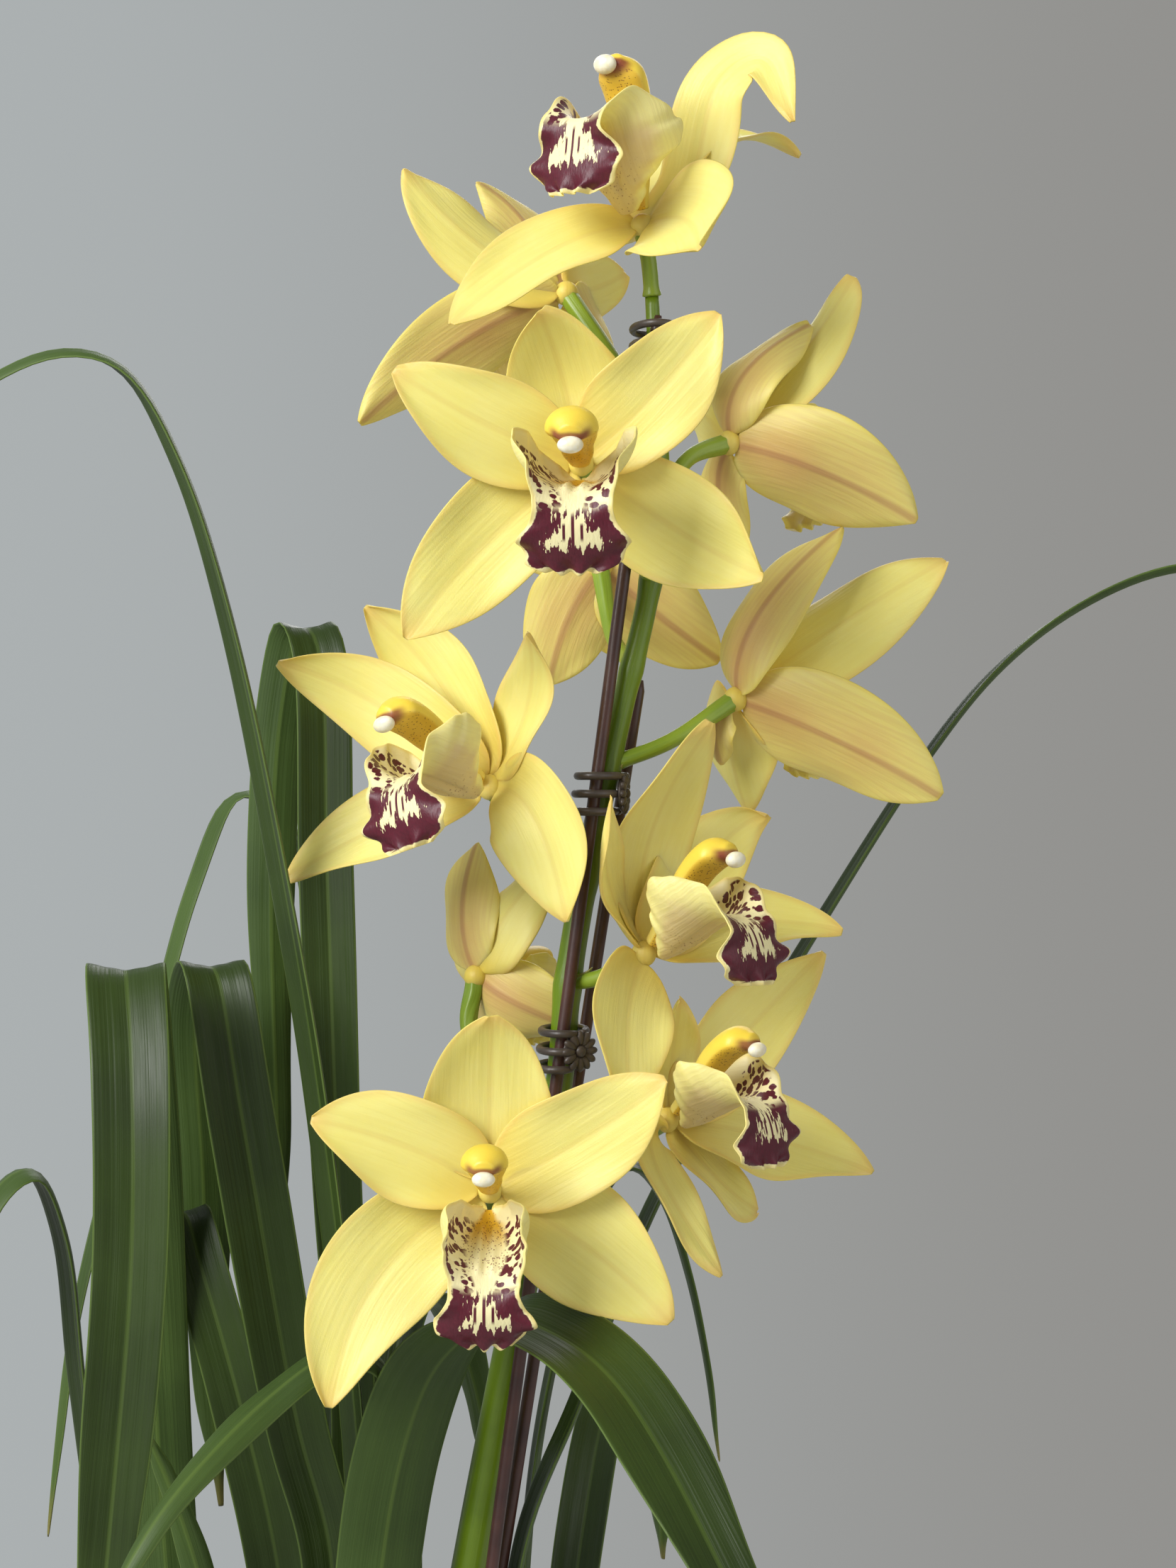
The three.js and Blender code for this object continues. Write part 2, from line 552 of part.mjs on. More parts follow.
// Each leaf's route starts inside its pseudobulb and the part inside is cut away. `across` is the
// direction that the leaf is wide in, at its base and at its tip.
const leaves = [
  { name: 'leaf_front_left_broad', width: 25, across: [[1, 0.2, 0], [1, -0.1, 0]],
    route: [[-44, 2, 195], [-60, 6, 300], [-70, 12, 386], [-77, 8, 520], [-78, -12, 580], [-71, -36, 552],
      [-69, -46, 495], [-75, -52, 409], [-82, -54, 330]] },
  { name: 'leaf_left_folded', width: 22, across: [[-1, 0.1, 0], [-1, -0.2, 0]],
    route: [[-33, -2, 195], [-22, -2, 300], [-16, 0, 391], [-27, 1, 435], [-45, 6, 530], [-56, 17, 578],
      [-65, 36, 560], [-65, 50, 504], [-64, 54, 446], [-60, 56, 391]] },
  { name: 'leaf_long_left', width: 15, across: [[-0.8, 0.6, 0], [-0.3, 0.9, 0.3]],
    route: [[-12, 26, 200], [-6, -4, 300], [-6, -11, 416], [-17, -15, 530], [-27, -16, 594], [-45, -17, 683],
      [-61, -18, 734], [-78, -19, 762], [-96, -20, 766], [-116, -20, 758], [-142, -20, 738],
      [-166, -18, 706]] },
  { name: 'leaf_behind_tall', width: 19, across: [[-0.9, 0.5, 0], [-0.9, -0.3, 0]],
    route: [[-10, 36, 205], [-14, 32, 300], [-12, 30, 434], [-17, 34, 490], [-22, 38, 604], [-25, 40, 680],
      [-32, 50, 690], [-40, 58, 660], [-44, 62, 600], [-42, 62, 518], [-41, 62, 470]] },
  { name: 'leaf_behind_arching', width: 17, across: [[-0.5, 0.85, 0], [-0.4, 0.9, 0]],
    route: [[-14, 44, 200], [-24, 54, 320], [-22, 62, 446], [-28, 70, 577], [-40, 76, 622], [-58, 78, 633],
      [-74, 78, 600], [-86, 74, 555], [-101, 68, 500], [-111, 60, 450], [-117, 54, 381]] },
  { name: 'leaf_far_left', width: 16, across: [[-0.6, 0.8, 0], [-0.5, 0.85, 0.1]],
    route: [[-46, 14, 195], [-72, 26, 300], [-93, 30, 381], [-101, 28, 440], [-106, 24, 490], [-114, 16, 512],
      [-124, 8, 504], [-131, 0, 475], [-127, -6, 435], [-118, -12, 385], [-114, -14, 350]] },
  { name: 'leaf_left_middle', width: 20, across: [[-1, 0.3, 0], [-1, 0, 0]],
    route: [[-30, 10, 200], [-26, 12, 300], [-35, 14, 386], [-47, 17, 435], [-61, 22, 480], [-68, 29, 497],
      [-76, 36, 484], [-82, 40, 450]] },
  { name: 'leaf_front_crossing', width: 14, across: [[0.5, 0.8, 0], [-0.5, 0.7, 0.5]],
    route: [[-6, -26, 200], [4, -18, 300], [6, -13, 400], [5, -16, 446], [-1, -26, 463], [-12, -34, 465],
      [-28, -46, 456], [-42, -64, 445], [-54, -80, 432], [-69, -96, 406]] },
  { name: 'leaf_short_young', width: 11, across: [[1, 0.2, 0], [1, 0.2, 0]],
    route: [[-42, -4, 205], [-48, -6, 300], [-53, -6, 375], [-63, -7, 412], [-73, -8, 437]] },
  { name: 'leaf_front_broad', width: 29, across: [[1, 0.1, 0], [0.75, 0.5, 0.3]],
    route: [[4, -44, 200], [-3, -34, 300], [1, -24, 395], [9, -25, 439], [20, -28, 464], [37, -35, 477],
      [56, -50, 475], [71, -70, 468], [84, -91, 454], [97, -112, 434], [108, -125, 414], [118, -136, 392]] },
  { name: 'leaf_back_right', width: 15, across: [[-0.2, 1, 0], [0, 1, 0]],
    route: [[34, 24, 200], [40, 34, 300], [46, 37, 405], [57, 38, 463], [69, 38, 500], [78, 38, 510],
      [88, 38, 500], [97, 36, 475], [103, 33, 448], [108, 30, 414]] },
  { name: 'leaf_long_right', width: 14, across: [[-0.4, 0.9, 0], [-0.1, 0.95, -0.2]],
    route: [[44, 14, 200], [36, 8, 290], [43, 12, 393], [61, 31, 434], [86, 56, 492], [116, 64, 542],
      [146, 62, 592], [180, 66, 644], [205, 66, 675], [232, 62, 696], [262, 56, 708], [292, 50, 706],
      [318, 44, 690]] },
  { name: 'leaf_back_low', width: 18, across: [[-1, 0.4, 0], [-0.9, 0.2, 0]],
    route: [[2, 44, 200], [2, 48, 300], [1, 46, 391], [-2, 52, 434], [4, 66, 458], [14, 84, 452],
      [24, 98, 420], [30, 104, 380]] },
  { name: 'leaf_rear_arching', width: 20, across: [[-0.9, 0.4, 0], [-0.9, 0.5, 0]],
    route: [[40, 30, 200], [52, 60, 290], [62, 92, 370], [72, 122, 410], [82, 148, 410], [90, 168, 380],
      [94, 178, 330]] },
];
const leafShare = keyed([[0, 0.45], [0.3, 0.85], [0.55, 1], [0.8, 0.9], [0.93, 0.55], [1, 0.12]]);

function leaf({ width, across, route }) {
  const [atBase, atTip] = across.map(vec);
  const geometry = blade(smoothCurve(route.map(grown)), {
    acrossAt: (t) => atBase.clone().lerp(atTip, t).normalize(),
    halfWidthAt: (t) => (width / 2) * leafShare(t),
    bendAt: () => 0.35,
    thickness: LEAF_THICKNESS,
    columns: 2,
    rows: 14,
  });
  return toGeometry(trimmed(toSolid(geometry), bulbKeepOut));
}

for (const shape of leaves) addPiece(shape.name, leaf(shape), leafGreen);

// ---- potting mix and pot ----------------------------------------------------------------------

function lathe(profile, sides) {
  const outline = profile.map(([r, z]) => new THREE.Vector2(r, z));
  return new THREE.LatheGeometry(outline, sides).rotateX(Math.PI / 2);
}

const POT_SIDES = 40;
const wallRadiusAt = (z) => POT_BASE_RADIUS + ((POT_TOP_RADIUS - POT_BASE_RADIUS) * z) / POT_HEIGHT;
const rimFoot = POT_HEIGHT - POT_RIM_HEIGHT;
const rimRadius = POT_TOP_RADIUS + POT_RIM_STEP;

addPiece('pot', lathe([
  [0, 0],
  [POT_BASE_RADIUS, 0],
  [wallRadiusAt(rimFoot), rimFoot],
  [rimRadius, rimFoot + POT_RIM_STEP],
  [rimRadius, POT_HEIGHT],
  [POT_TOP_RADIUS - POT_WALL, POT_HEIGHT],
  [wallRadiusAt(POT_FLOOR) - POT_WALL, POT_FLOOR],
  [0, POT_FLOOR],
], POT_SIDES), potClay);

const mixBottom = POT_FLOOR + CLEARANCE;
const mixRadiusAt = (z) => wallRadiusAt(z) - POT_WALL - 2 * CLEARANCE;
const mixBlock = lathe([
  [0, mixBottom],
  [mixRadiusAt(mixBottom), mixBottom],
  [mixRadiusAt(MIX_LEVEL), MIX_LEVEL],
  [0, MIX_LEVEL],
], POT_SIDES);

// The stakes stand in holes a clearance wider and deeper than themselves.
function stakeHole(stake) {
  const line = stakeLine(stake);
  const down = line.v1.clone().sub(line.v2).normalize();
  const hole = new THREE.LineCurve3(line.v1.clone().addScaledVector(down, CLEARANCE), line.v2);
  return toSolid(rod(hole, () => STAKE_RADIUS + CLEARANCE, 10, 1));
}

const mix = stakes.map(stakeHole).reduce((block, hole) => block.subtract(hole), toSolid(mixBlock));
addPiece('potting_mix', toGeometry(mix), barkBrown);

export default orchid;
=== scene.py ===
"""A potted Cymbidium orchid: flower spike, stakes, clips, strap leaves, bark mix and pot."""

import math
import random

import bmesh
import bpy
from mathutils import Matrix, Vector, noise
from mathutils.geometry import interpolate_bezier


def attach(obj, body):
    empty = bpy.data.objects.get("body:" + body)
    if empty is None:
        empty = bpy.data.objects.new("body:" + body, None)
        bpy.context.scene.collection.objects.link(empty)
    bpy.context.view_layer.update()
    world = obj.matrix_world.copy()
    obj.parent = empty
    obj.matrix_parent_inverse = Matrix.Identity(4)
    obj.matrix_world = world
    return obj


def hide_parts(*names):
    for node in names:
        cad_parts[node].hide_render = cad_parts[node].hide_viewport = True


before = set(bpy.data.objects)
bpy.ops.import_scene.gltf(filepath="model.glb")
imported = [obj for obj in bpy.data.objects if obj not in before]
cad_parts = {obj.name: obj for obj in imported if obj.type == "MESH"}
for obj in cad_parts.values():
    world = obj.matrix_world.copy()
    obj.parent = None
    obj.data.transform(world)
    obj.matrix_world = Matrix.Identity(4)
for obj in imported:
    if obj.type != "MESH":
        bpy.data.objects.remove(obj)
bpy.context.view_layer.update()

MM = 0.001

# ---- sizes, in millimetres ----------------------------------------------------------------------

POT_HEIGHT = 180
POT_TOP_RADIUS = 98
POT_BASE_RADIUS = 74
POT_WALL = 4
POT_FLOOR = 6
POT_RIM_HEIGHT = 22
POT_RIM_STEP = 4
POT_FOOT_WIDTH = 10
POT_FOOT_RECESS = 2
MIX_LEVEL = 165

SPIKE_MIDDLE_RADIUS = 4.2

BULB_RADIUS = 19
BULB_HEIGHT = 62
CLEARANCE = 0.3

STAKE_RADIUS = 2
STAKE_DEPTH = 110

CLIP_WIRE_RADIUS = 1.25
CLIP_ROOM = 1.4
CLIP_FINGERS = 3
CLIP_FINGER_PITCH = 5.5
MEDALLION_RADIUS = 6.5
MEDALLION_PETALS = 12

PEDICEL_RADIUS = 2.5
OVARY_RADIUS = 3.1
HUB_RADIUS = 4.4
TEPAL_THICKNESS = 1.1
LIP_THICKNESS = 1.1
LEAF_THICKNESS = 1.3


# ---- numbers and places -------------------------------------------------------------------------

def vec(millimetres):
    return Vector(millimetres) * MM


def mix_numbers(start, end, share):
    return start + (end - start) * share


def smooth_step(value, low, high):
    share = min(1.0, max(0.0, (value - low) / (high - low)))
    return share * share * (3 - 2 * share)


def keyed(*pairs):
    """Smooth interpolation through (position, value) pairs."""
    def value_at(share):
        if share <= pairs[0][0]:
            return pairs[0][1]
        for (start, first), (end, last) in zip(pairs, pairs[1:]):
            if share <= end:
                eased = (1 - math.cos(math.pi * (share - start) / (end - start))) / 2
                return mix_numbers(first, last, eased)
        return pairs[-1][1]
    return value_at


class Route:
    """A smooth path through space that gives its place and direction at a share of its length."""

    def __init__(self, places):
        self.places = places
        self.travelled = [0.0]
        for start, end in zip(places, places[1:]):
            self.travelled.append(self.travelled[-1] + (end - start).length)
        self.length = self.travelled[-1]

    def place(self, share):
        goal = min(max(share, 0.0), 1.0) * self.length
        low, high = 0, len(self.places) - 1
        while high - low > 1:
            middle = (low + high) // 2
            if self.travelled[middle] <= goal:
                low = middle
            else:
                high = middle
        step = self.travelled[high] - self.travelled[low]
        return self.places[low].lerp(self.places[high], (goal - self.travelled[low]) / step)

    def direction(self, share):
        reach = 0.012
        return (self.place(share + reach) - self.place(share - reach)).normalized()

    def axes(self, share, across):
        """Place, direction, sideways and outward, with `across` as the sideways hint."""
        direction = self.direction(share)
        side = (across - direction * across.dot(direction)).normalized()
        return self.place(share), direction, side, direction.cross(side)


def smooth_route(places, steps=14):
    """A centripetal curve through every place."""
    first = places[0] * 2 - places[1]
    last = places[-1] * 2 - places[-2]
    ends = [first, *places, last]
    dense = []
    for before, start, end, after in zip(ends, ends[1:], ends[2:], ends[3:]):
        lead, span, trail = (math.sqrt((b - a).length) for a, b in
                             ((before, start), (start, end), (end, after)))
        leaving = ((start - before) / lead - (end - before) / (lead + span)) * span + (end - start)
        arriving = (end - start) + ((after - end) / trail - (after - start) / (span + trail)) * span
        handles = (start + leaving / 3, end - arriving / 3)
        dense += interpolate_bezier(start, *handles, end, steps + 1)[:-1]
    return Route(dense + [places[-1]])


def arc_through(start, via, end, steps=32):
    """A curve from start to end that passes through `via` half way."""
    control = via * 2 - start * 0.5 - end * 0.5
    handles = (start.lerp(control, 2 / 3), end.lerp(control, 2 / 3))
    return Route(list(interpolate_bezier(start, *handles, end, steps + 1)))


# ---- mesh parts ---------------------------------------------------------------------------------

SIDEWAYS = Vector((0, 1, 0))
FAR_FROM_EDGE = 10.0  # millimetres, for parts whose finish has no edge


def new_mesh():
    """An empty mesh whose points carry how far along and aside they are on their part."""
    bm = bmesh.new()
    for name in ("along", "aside", "margin"):
        bm.verts.layers.float.new(name)
    bm.verts.layers.float_vector.new("lie")
    return bm


def label(bm, vert, along, aside, margin, lie):
    """Stores shares along and aside, and in millimetres the edge's distance and flattened place."""
    floats = bm.verts.layers.float
    vert[floats["along"]] = along
    vert[floats["aside"]] = aside
    vert[floats["margin"]] = margin
    vert[bm.verts.layers.float_vector["lie"]] = lie


def added_since(elements, before):
    return [element for element in elements if element not in before]


def points_of(faces):
    return {vert for face in faces for vert in face.verts}


def give_finish(faces, finish):
    for face in faces:
        face.material_index = finish


def add_blade(bm, route, across_at, half_width, bend, thickness, columns, rows, relief, finishes):
    """A thin blade along a route, closed all round. Each half of its section turns through bend."""
    known = set(bm.faces)
    bmesh.ops.create_grid(bm, x_segments=columns, y_segments=rows, size=1.0)
    lower = added_since(bm.faces, known)
    raised = bmesh.ops.extrude_face_region(bm, geom=lower)["geom"]
    upper = [element for element in raised if isinstance(element, bmesh.types.BMFace)]
    bmesh.ops.translate(bm, vec=(0, 0, 1), verts=list(points_of(upper)))
    whole = added_since(bm.faces, known)
    give_finish(whole, finishes[1])
    give_finish(upper, finishes[0])
    rows_done = {}
    for vert in points_of(whole):
        share, aside = (vert.co.y + 1) / 2, -vert.co.x
        key = round(share, 5)
        if key not in rows_done:
            turn = bend(share) if abs(bend(share)) > 0.01 else 0.01
            rows_done[key] = (*route.axes(share, across_at(share)), half_width(share), turn)
        place, _, side, outward, half, turn = rows_done[key]
        margin = min((1 - abs(aside)) * half, (1 - share) * route.length)
        rim = 0.4 + 0.6 * smooth_step(margin, 0, 1.6 * MM)
        lift = (vert.co.z - 0.5) * thickness * rim + relief(aside, share, half)
        radius = half / turn
        angle = aside * turn
        vert.co = (place + side * ((radius - lift) * math.sin(angle))
                   + outward * (radius * (1 - math.cos(angle)) + lift * math.cos(angle)))
        lie = (aside * half / MM, share * route.length / MM, 0.0)
        label(bm, vert, share, aside, margin / MM, lie)


def add_rod(bm, route, radius_at, sides, steps, finish=0, across=SIDEWAYS, section=None):
    """A rod along a route, closed at both ends. Its `aside` is 1 on the outward side."""
    known = set(bm.faces)
    bmesh.ops.create_cone(
        bm, cap_ends=True, cap_tris=False, segments=sides, radius1=1, radius2=1, depth=1)
    upright = {edge for face in added_since(bm.faces, known) for edge in face.edges
               if abs(edge.verts[0].co.z - edge.verts[1].co.z) > 0.5}
    bmesh.ops.subdivide_edges(bm, edges=list(upright), cuts=steps - 1)
    drum = added_since(bm.faces, known)
    give_finish(drum, finish)
    for vert in points_of(drum):
        x, y, share = vert.co.x, vert.co.y, vert.co.z + 0.5
        place, _, side, outward = route.axes(share, across)
        radius = radius_at(share)
        lie = (math.atan2(y, x) * radius / MM, share * route.length / MM, 0.0)
        label(bm, vert, share, y, FAR_FROM_EDGE, lie)
        if section:
            x, y = section(x, y, share)
        vert.co = place + side * (x * radius) + outward * (y * radius)


def add_ball(bm, place, radii, turn=Matrix.Identity(3), finish=0, rings=10):
    """An egg shape with one radius for each of its three axes."""
    known = set(bm.faces)
    size = Matrix.Diagonal(Vector(radii)).to_4x4()
    matrix = Matrix.Translation(place) @ turn.to_4x4() @ size
    bmesh.ops.create_uvsphere(bm, u_segments=2 * rings, v_segments=rings, radius=1.0, matrix=matrix)
    ball = added_since(bm.faces, known)
    give_finish(ball, finish)
    for vert in points_of(ball):
        label(bm, vert, 0.0, 0.0, FAR_FROM_EDGE, (vert.co - place) / MM)


def add_lathe(bm, profile, steps):
    """A profile of (radius, height) millimetres turned about the upright axis."""
    points = [bm.verts.new((radius * MM, 0, height * MM)) for radius, height in profile]
    edges = [bm.edges.new(pair) for pair in zip(points, points[1:])]
    bmesh.ops.spin(bm, geom=points + edges, cent=(0, 0, 0), axis=(0, 0, 1), angle=2 * math.pi,
                   steps=steps, use_merge=True)
    bmesh.ops.remove_doubles(bm, verts=bm.verts[:], dist=0.01 * MM)
    bmesh.ops.recalc_face_normals(bm, faces=bm.faces[:])


def finish_piece(bm, name, nodes, materials, rounding=0, sharp=None):
    """Makes the mesh a piece under the root body and hides the imported parts of the given nodes."""
    mesh = bpy.data.meshes.new(name)
    bm.to_mesh(mesh)
    bm.free()
    for material in materials:
        mesh.materials.append(material)
    mesh.shade_smooth()
    if sharp is not None:
        mesh.set_sharp_from_angle(angle=sharp)
    piece = bpy.data.objects.new(name, mesh)
    bpy.context.scene.collection.objects.link(piece)
    if rounding:
        modifier = piece.modifiers.new("rounding", "SUBSURF")
        modifier.levels = rounding
        modifier.render_levels = rounding
    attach(piece, "root")
    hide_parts(*nodes)


# ---- shader helpers -----------------------------------------------------------------------------

def colour(red, green, blue):
    """A screen colour, 0 to 255, as the linear colour that shaders take."""
    def linear(channel):
        value = channel / 255
        return value / 12.92 if value <= 0.04045 else ((value + 0.055) / 1.055) ** 2.4
    return (linear(red), linear(green), linear(blue), 1.0)


class Graph:
    """Adds nodes to one node tree and joins them up."""

    def __init__(self, tree):
        self.tree = tree

    def add(self, kind, inputs=(), **settings):
        node = self.tree.nodes.new(kind)
        for name, value in settings.items():
            setattr(node, name, value)
        for name, value in dict(inputs).items():
            self.feed(node.inputs[name], value)
        return node.outputs

    def feed(self, socket, value):
        if isinstance(value, bpy.types.NodeSocket):
            self.tree.links.new(value, socket)
        else:
            socket.default_value = value

    def attribute(self, name, output="Fac"):
        return self.add("ShaderNodeAttribute", attribute_name=name)[output]

    def maths(self, operation, first, second=0.0, clamp=False):
        inputs = {0: first, 1: second}
        return self.add("ShaderNodeMath", inputs, operation=operation, use_clamp=clamp)[0]

    def absolute(self, value):
        return self.maths("ABSOLUTE", value)

    def less(self, first, second):
        return self.maths("SUBTRACT", first, second)

    def scaled(self, value, factor, offset):
        return self.maths("ADD", self.maths("MULTIPLY", value, factor), offset)

    def weighted(self, first, first_weight, second, second_weight):
        return self.scaled(first, first_weight, self.maths("MULTIPLY", second, second_weight))

    def fade(self, value, low, high):
        """0 below low, 1 above high, smooth between; low above high fades the other way."""
        if low > high:
            return self.less(1.0, self.fade(value, high, low))
        inputs = {"Value": value, "From Min": low, "From Max": high}
        return self.add("ShaderNodeMapRange", inputs, interpolation_type="SMOOTHSTEP")["Result"]

    def both(self, mask, *others):
        """Where every mask is; a plain number weakens the mask."""
        for other in others:
            mask = self.maths("MULTIPLY", mask, other, clamp=True)
        return mask

    def either(self, mask, *others):
        for other in others:
            mask = self.maths("MAXIMUM", mask, other, clamp=True)
        return mask

    def blend(self, share, first, second):
        inputs = {0: share, 6: first, 7: second}
        return self.add("ShaderNodeMix", inputs, data_type="RGBA")[2]

    def stretch(self, vector, scale):
        return self.add("ShaderNodeMapping", {"Vector": vector, "Scale": scale})["Vector"]

    def cloud(self, vector, scale, detail=3.0, roughness=0.5):
        inputs = {"Vector": vector, "Scale": scale, "Detail": detail, "Roughness": roughness}
        return self.add("ShaderNodeTexNoise", inputs)["Fac"]

    def cells(self, vector, scale):
        inputs = {"Vector": vector, "Scale": scale}
        return self.add("ShaderNodeTexVoronoi", inputs)["Distance"]

    def split(self, vector):
        return self.add("ShaderNodeSeparateXYZ", {0: vector})

    def join(self, x, y):
        return self.add("ShaderNodeCombineXYZ", {"X": x, "Y": y})["Vector"]

    def group(self, name, **inputs):
        node = self.tree.nodes.new("ShaderNodeGroup")
        node.node_tree = bpy.data.node_groups[name]
        for socket, value in inputs.items():
            self.feed(node.inputs[socket.replace("_", " ")], value)
        return node.outputs


def make_group(name, inputs, outputs):
    """A shader node group with float sockets: its graph, what it is given and what it gives."""
    tree = bpy.data.node_groups.new(name, "ShaderNodeTree")
    for socket, value in inputs.items():
        made = tree.interface.new_socket(name=socket, in_out="INPUT", socket_type="NodeSocketFloat")
        made.default_value = value
    for socket in outputs:
        tree.interface.new_socket(name=socket, in_out="OUTPUT", socket_type="NodeSocketFloat")
    graph = Graph(tree)
    entrance = tree.nodes.new("NodeGroupInput").outputs
    leaving = tree.nodes.new("NodeGroupOutput").inputs
    return graph, entrance, leaving


def make_mottle_group():
    """Uneven patches in the object's own space: broad ones and a fine grain."""
    g, given, leaving = make_group(
        "mottle", {"Patch Scale": 20.0, "Grain Scale": 400.0}, ["Patch", "Grain"])
    place = g.add("ShaderNodeTexCoord")["Object"]
    g.feed(leaving["Patch"], g.fade(g.cloud(place, given["Patch Scale"], 4.0), 0.3, 0.7))
    g.feed(leaving["Grain"], g.cloud(place, given["Grain Scale"], 2.0))


def make_vein_group():
    """Veins that run along a blade: soft streaks and a narrow line at the middle."""
    g, given, leaving = make_group(
        "lengthwise_veins", {"Spacing": 1.0, "Rib Width": 0.8, "Waver": 0.04}, ["Streak", "Rib"])
    parts = g.split(g.attribute("lie", "Vector"))
    crosswise = g.maths("DIVIDE", parts["X"], given["Spacing"])
    lengthwise = g.maths("MULTIPLY", parts["Y"], given["Waver"])
    flat = g.join(crosswise, lengthwise)
    g.feed(leaving["Streak"], g.fade(g.cloud(flat, 1.0, 2.0), 0.35, 0.68))
    offset = g.maths("DIVIDE", g.absolute(parts["X"]), given["Rib Width"])
    g.feed(leaving["Rib"], g.fade(offset, 1.0, 0.25))


def make_freckle_group():
    """Small separate spots on a flattened blade, longer one way than the other."""
    g, given, leaving = make_group(
        "freckles", {"Width": 1.0, "Length": 1.0, "Amount": 0.3, "Soft": 0.05}, ["Spot"])
    parts = g.split(g.attribute("lie", "Vector"))
    crosswise = g.maths("DIVIDE", parts["X"], given["Width"])
    lengthwise = g.maths("DIVIDE", parts["Y"], given["Length"])
    flat = g.join(crosswise, lengthwise)
    ragged = g.maths("MULTIPLY", g.cloud(flat, 3.0, 1.0), 0.25)
    reach = g.maths("ADD", g.cells(flat, 1.0), ragged)
    inner = g.less(given["Amount"], reach)
    g.feed(leaving["Spot"], g.maths("DIVIDE", inner, given["Soft"], clamp=True))


make_mottle_group()
make_vein_group()
make_freckle_group()


class Finish(Graph):
    """A material: what its shader is given as a colour, a roughness and a relief."""

    def __init__(self, name, roughness=0.5, coat=0.0, subsurface=0.0, specular=0.5):
        self.material = bpy.data.materials.new(name)
        self.material.use_nodes = True
        super().__init__(self.material.node_tree)
        self.shader = self.tree.nodes["Principled BSDF"].inputs
        self.feed(self.shader["Roughness"], roughness)
        self.feed(self.shader["Coat Weight"], coat)
        self.feed(self.shader["Coat Roughness"], 0.25)
        self.feed(self.shader["Specular IOR Level"], specular)
        if subsurface:
            self.feed(self.shader["Subsurface Weight"], subsurface)
            self.feed(self.shader["Subsurface Radius"], (1.0, 0.85, 0.3))
            self.feed(self.shader["Subsurface Scale"], 3 * MM)

    def mottle(self, patch_scale, grain_scale):
        return self.group("mottle", Patch_Scale=patch_scale, Grain_Scale=grain_scale)

    def veins(self, spacing, rib_width, waver=0.04):
        return self.group("lengthwise_veins", Spacing=spacing, Rib_Width=rib_width, Waver=waver)

    def freckles(self, width, length, amount, soft):
        inputs = {"Width": width, "Length": length, "Amount": amount, "Soft": soft}
        return self.group("freckles", **inputs)["Spot"]

    def paint(self, tint):
        self.feed(self.shader["Base Color"], tint)

    def roughen(self, value):
        self.feed(self.shader["Roughness"], value)

    def emboss(self, height, strength, depth):
        """Relief that is up to depth millimetres deep."""
        inputs = {"Height": height, "Strength": strength, "Distance": depth * MM}
        self.feed(self.shader["Normal"], self.add("ShaderNodeBump", inputs)["Normal"])


# ---- flower materials ---------------------------------------------------------------------------

LEMON = colour(236, 224, 126)
GOLD = colour(226, 200, 84)
APRICOT = colour(226, 178, 92)
CREAM = colour(243, 232, 178)
BURGUNDY = colour(70, 5, 24)
BRICK = colour(120, 52, 30)


def tepal_face_material():
    g = Finish("tepal_face", roughness=0.48, subsurface=0.25)
    along, margin = g.attribute("along"), g.attribute("margin")
    veins = g.veins(1.5, 1.4)
    mottle = g.mottle(45.0, 2600.0)
    ground = g.blend(g.fade(along, 0.0, 0.42), GOLD, LEMON)
    patchy = g.blend(g.both(mottle["Patch"], 0.3), ground, colour(243, 233, 158))
    edged = g.blend(g.both(g.fade(margin, 3.0, 0.0), 0.45), patchy, APRICOT)
    tipped = g.blend(g.both(g.fade(along, 0.84, 1.0), 0.45), edged, APRICOT)
    streaked = g.blend(g.both(veins["Streak"], 0.1), tipped, GOLD)
    ribbed = g.blend(g.both(veins["Rib"], 0.2), streaked, colour(212, 178, 92))
    g.paint(ribbed)
    g.roughen(g.scaled(mottle["Grain"], 0.2, 0.4))
    relief = g.weighted(veins["Streak"], 0.6, mottle["Grain"], 0.3)
    g.emboss(relief, 0.35, 0.25)
    return g.material


def tepal_back_material():
    g = Finish("tepal_back", roughness=0.52, subsurface=0.25)
    along, aside, margin = g.attribute("along"), g.attribute("aside"), g.attribute("margin")
    veins = g.veins(1.3, 1.7)
    mottle = g.mottle(38.0, 2600.0)
    flush = g.both(g.fade(g.absolute(aside), 0.95, 0.1), g.fade(along, 1.0, 0.3))
    flushed = g.both(flush, g.scaled(mottle["Patch"], 0.5, 0.45))
    ground = g.blend(flushed, colour(228, 212, 122), colour(214, 178, 108))
    streaked = g.blend(g.both(veins["Streak"], 0.2), ground, colour(200, 152, 98))
    ribbed = g.blend(g.both(veins["Rib"], 0.5), streaked, colour(172, 112, 82))
    edged = g.blend(g.both(g.fade(margin, 2.0, 0.0), 0.5), ribbed, GOLD)
    g.paint(edged)
    relief = g.weighted(veins["Streak"], 0.7, mottle["Grain"], 0.3)
    g.emboss(relief, 0.35, 0.25)
    return g.material


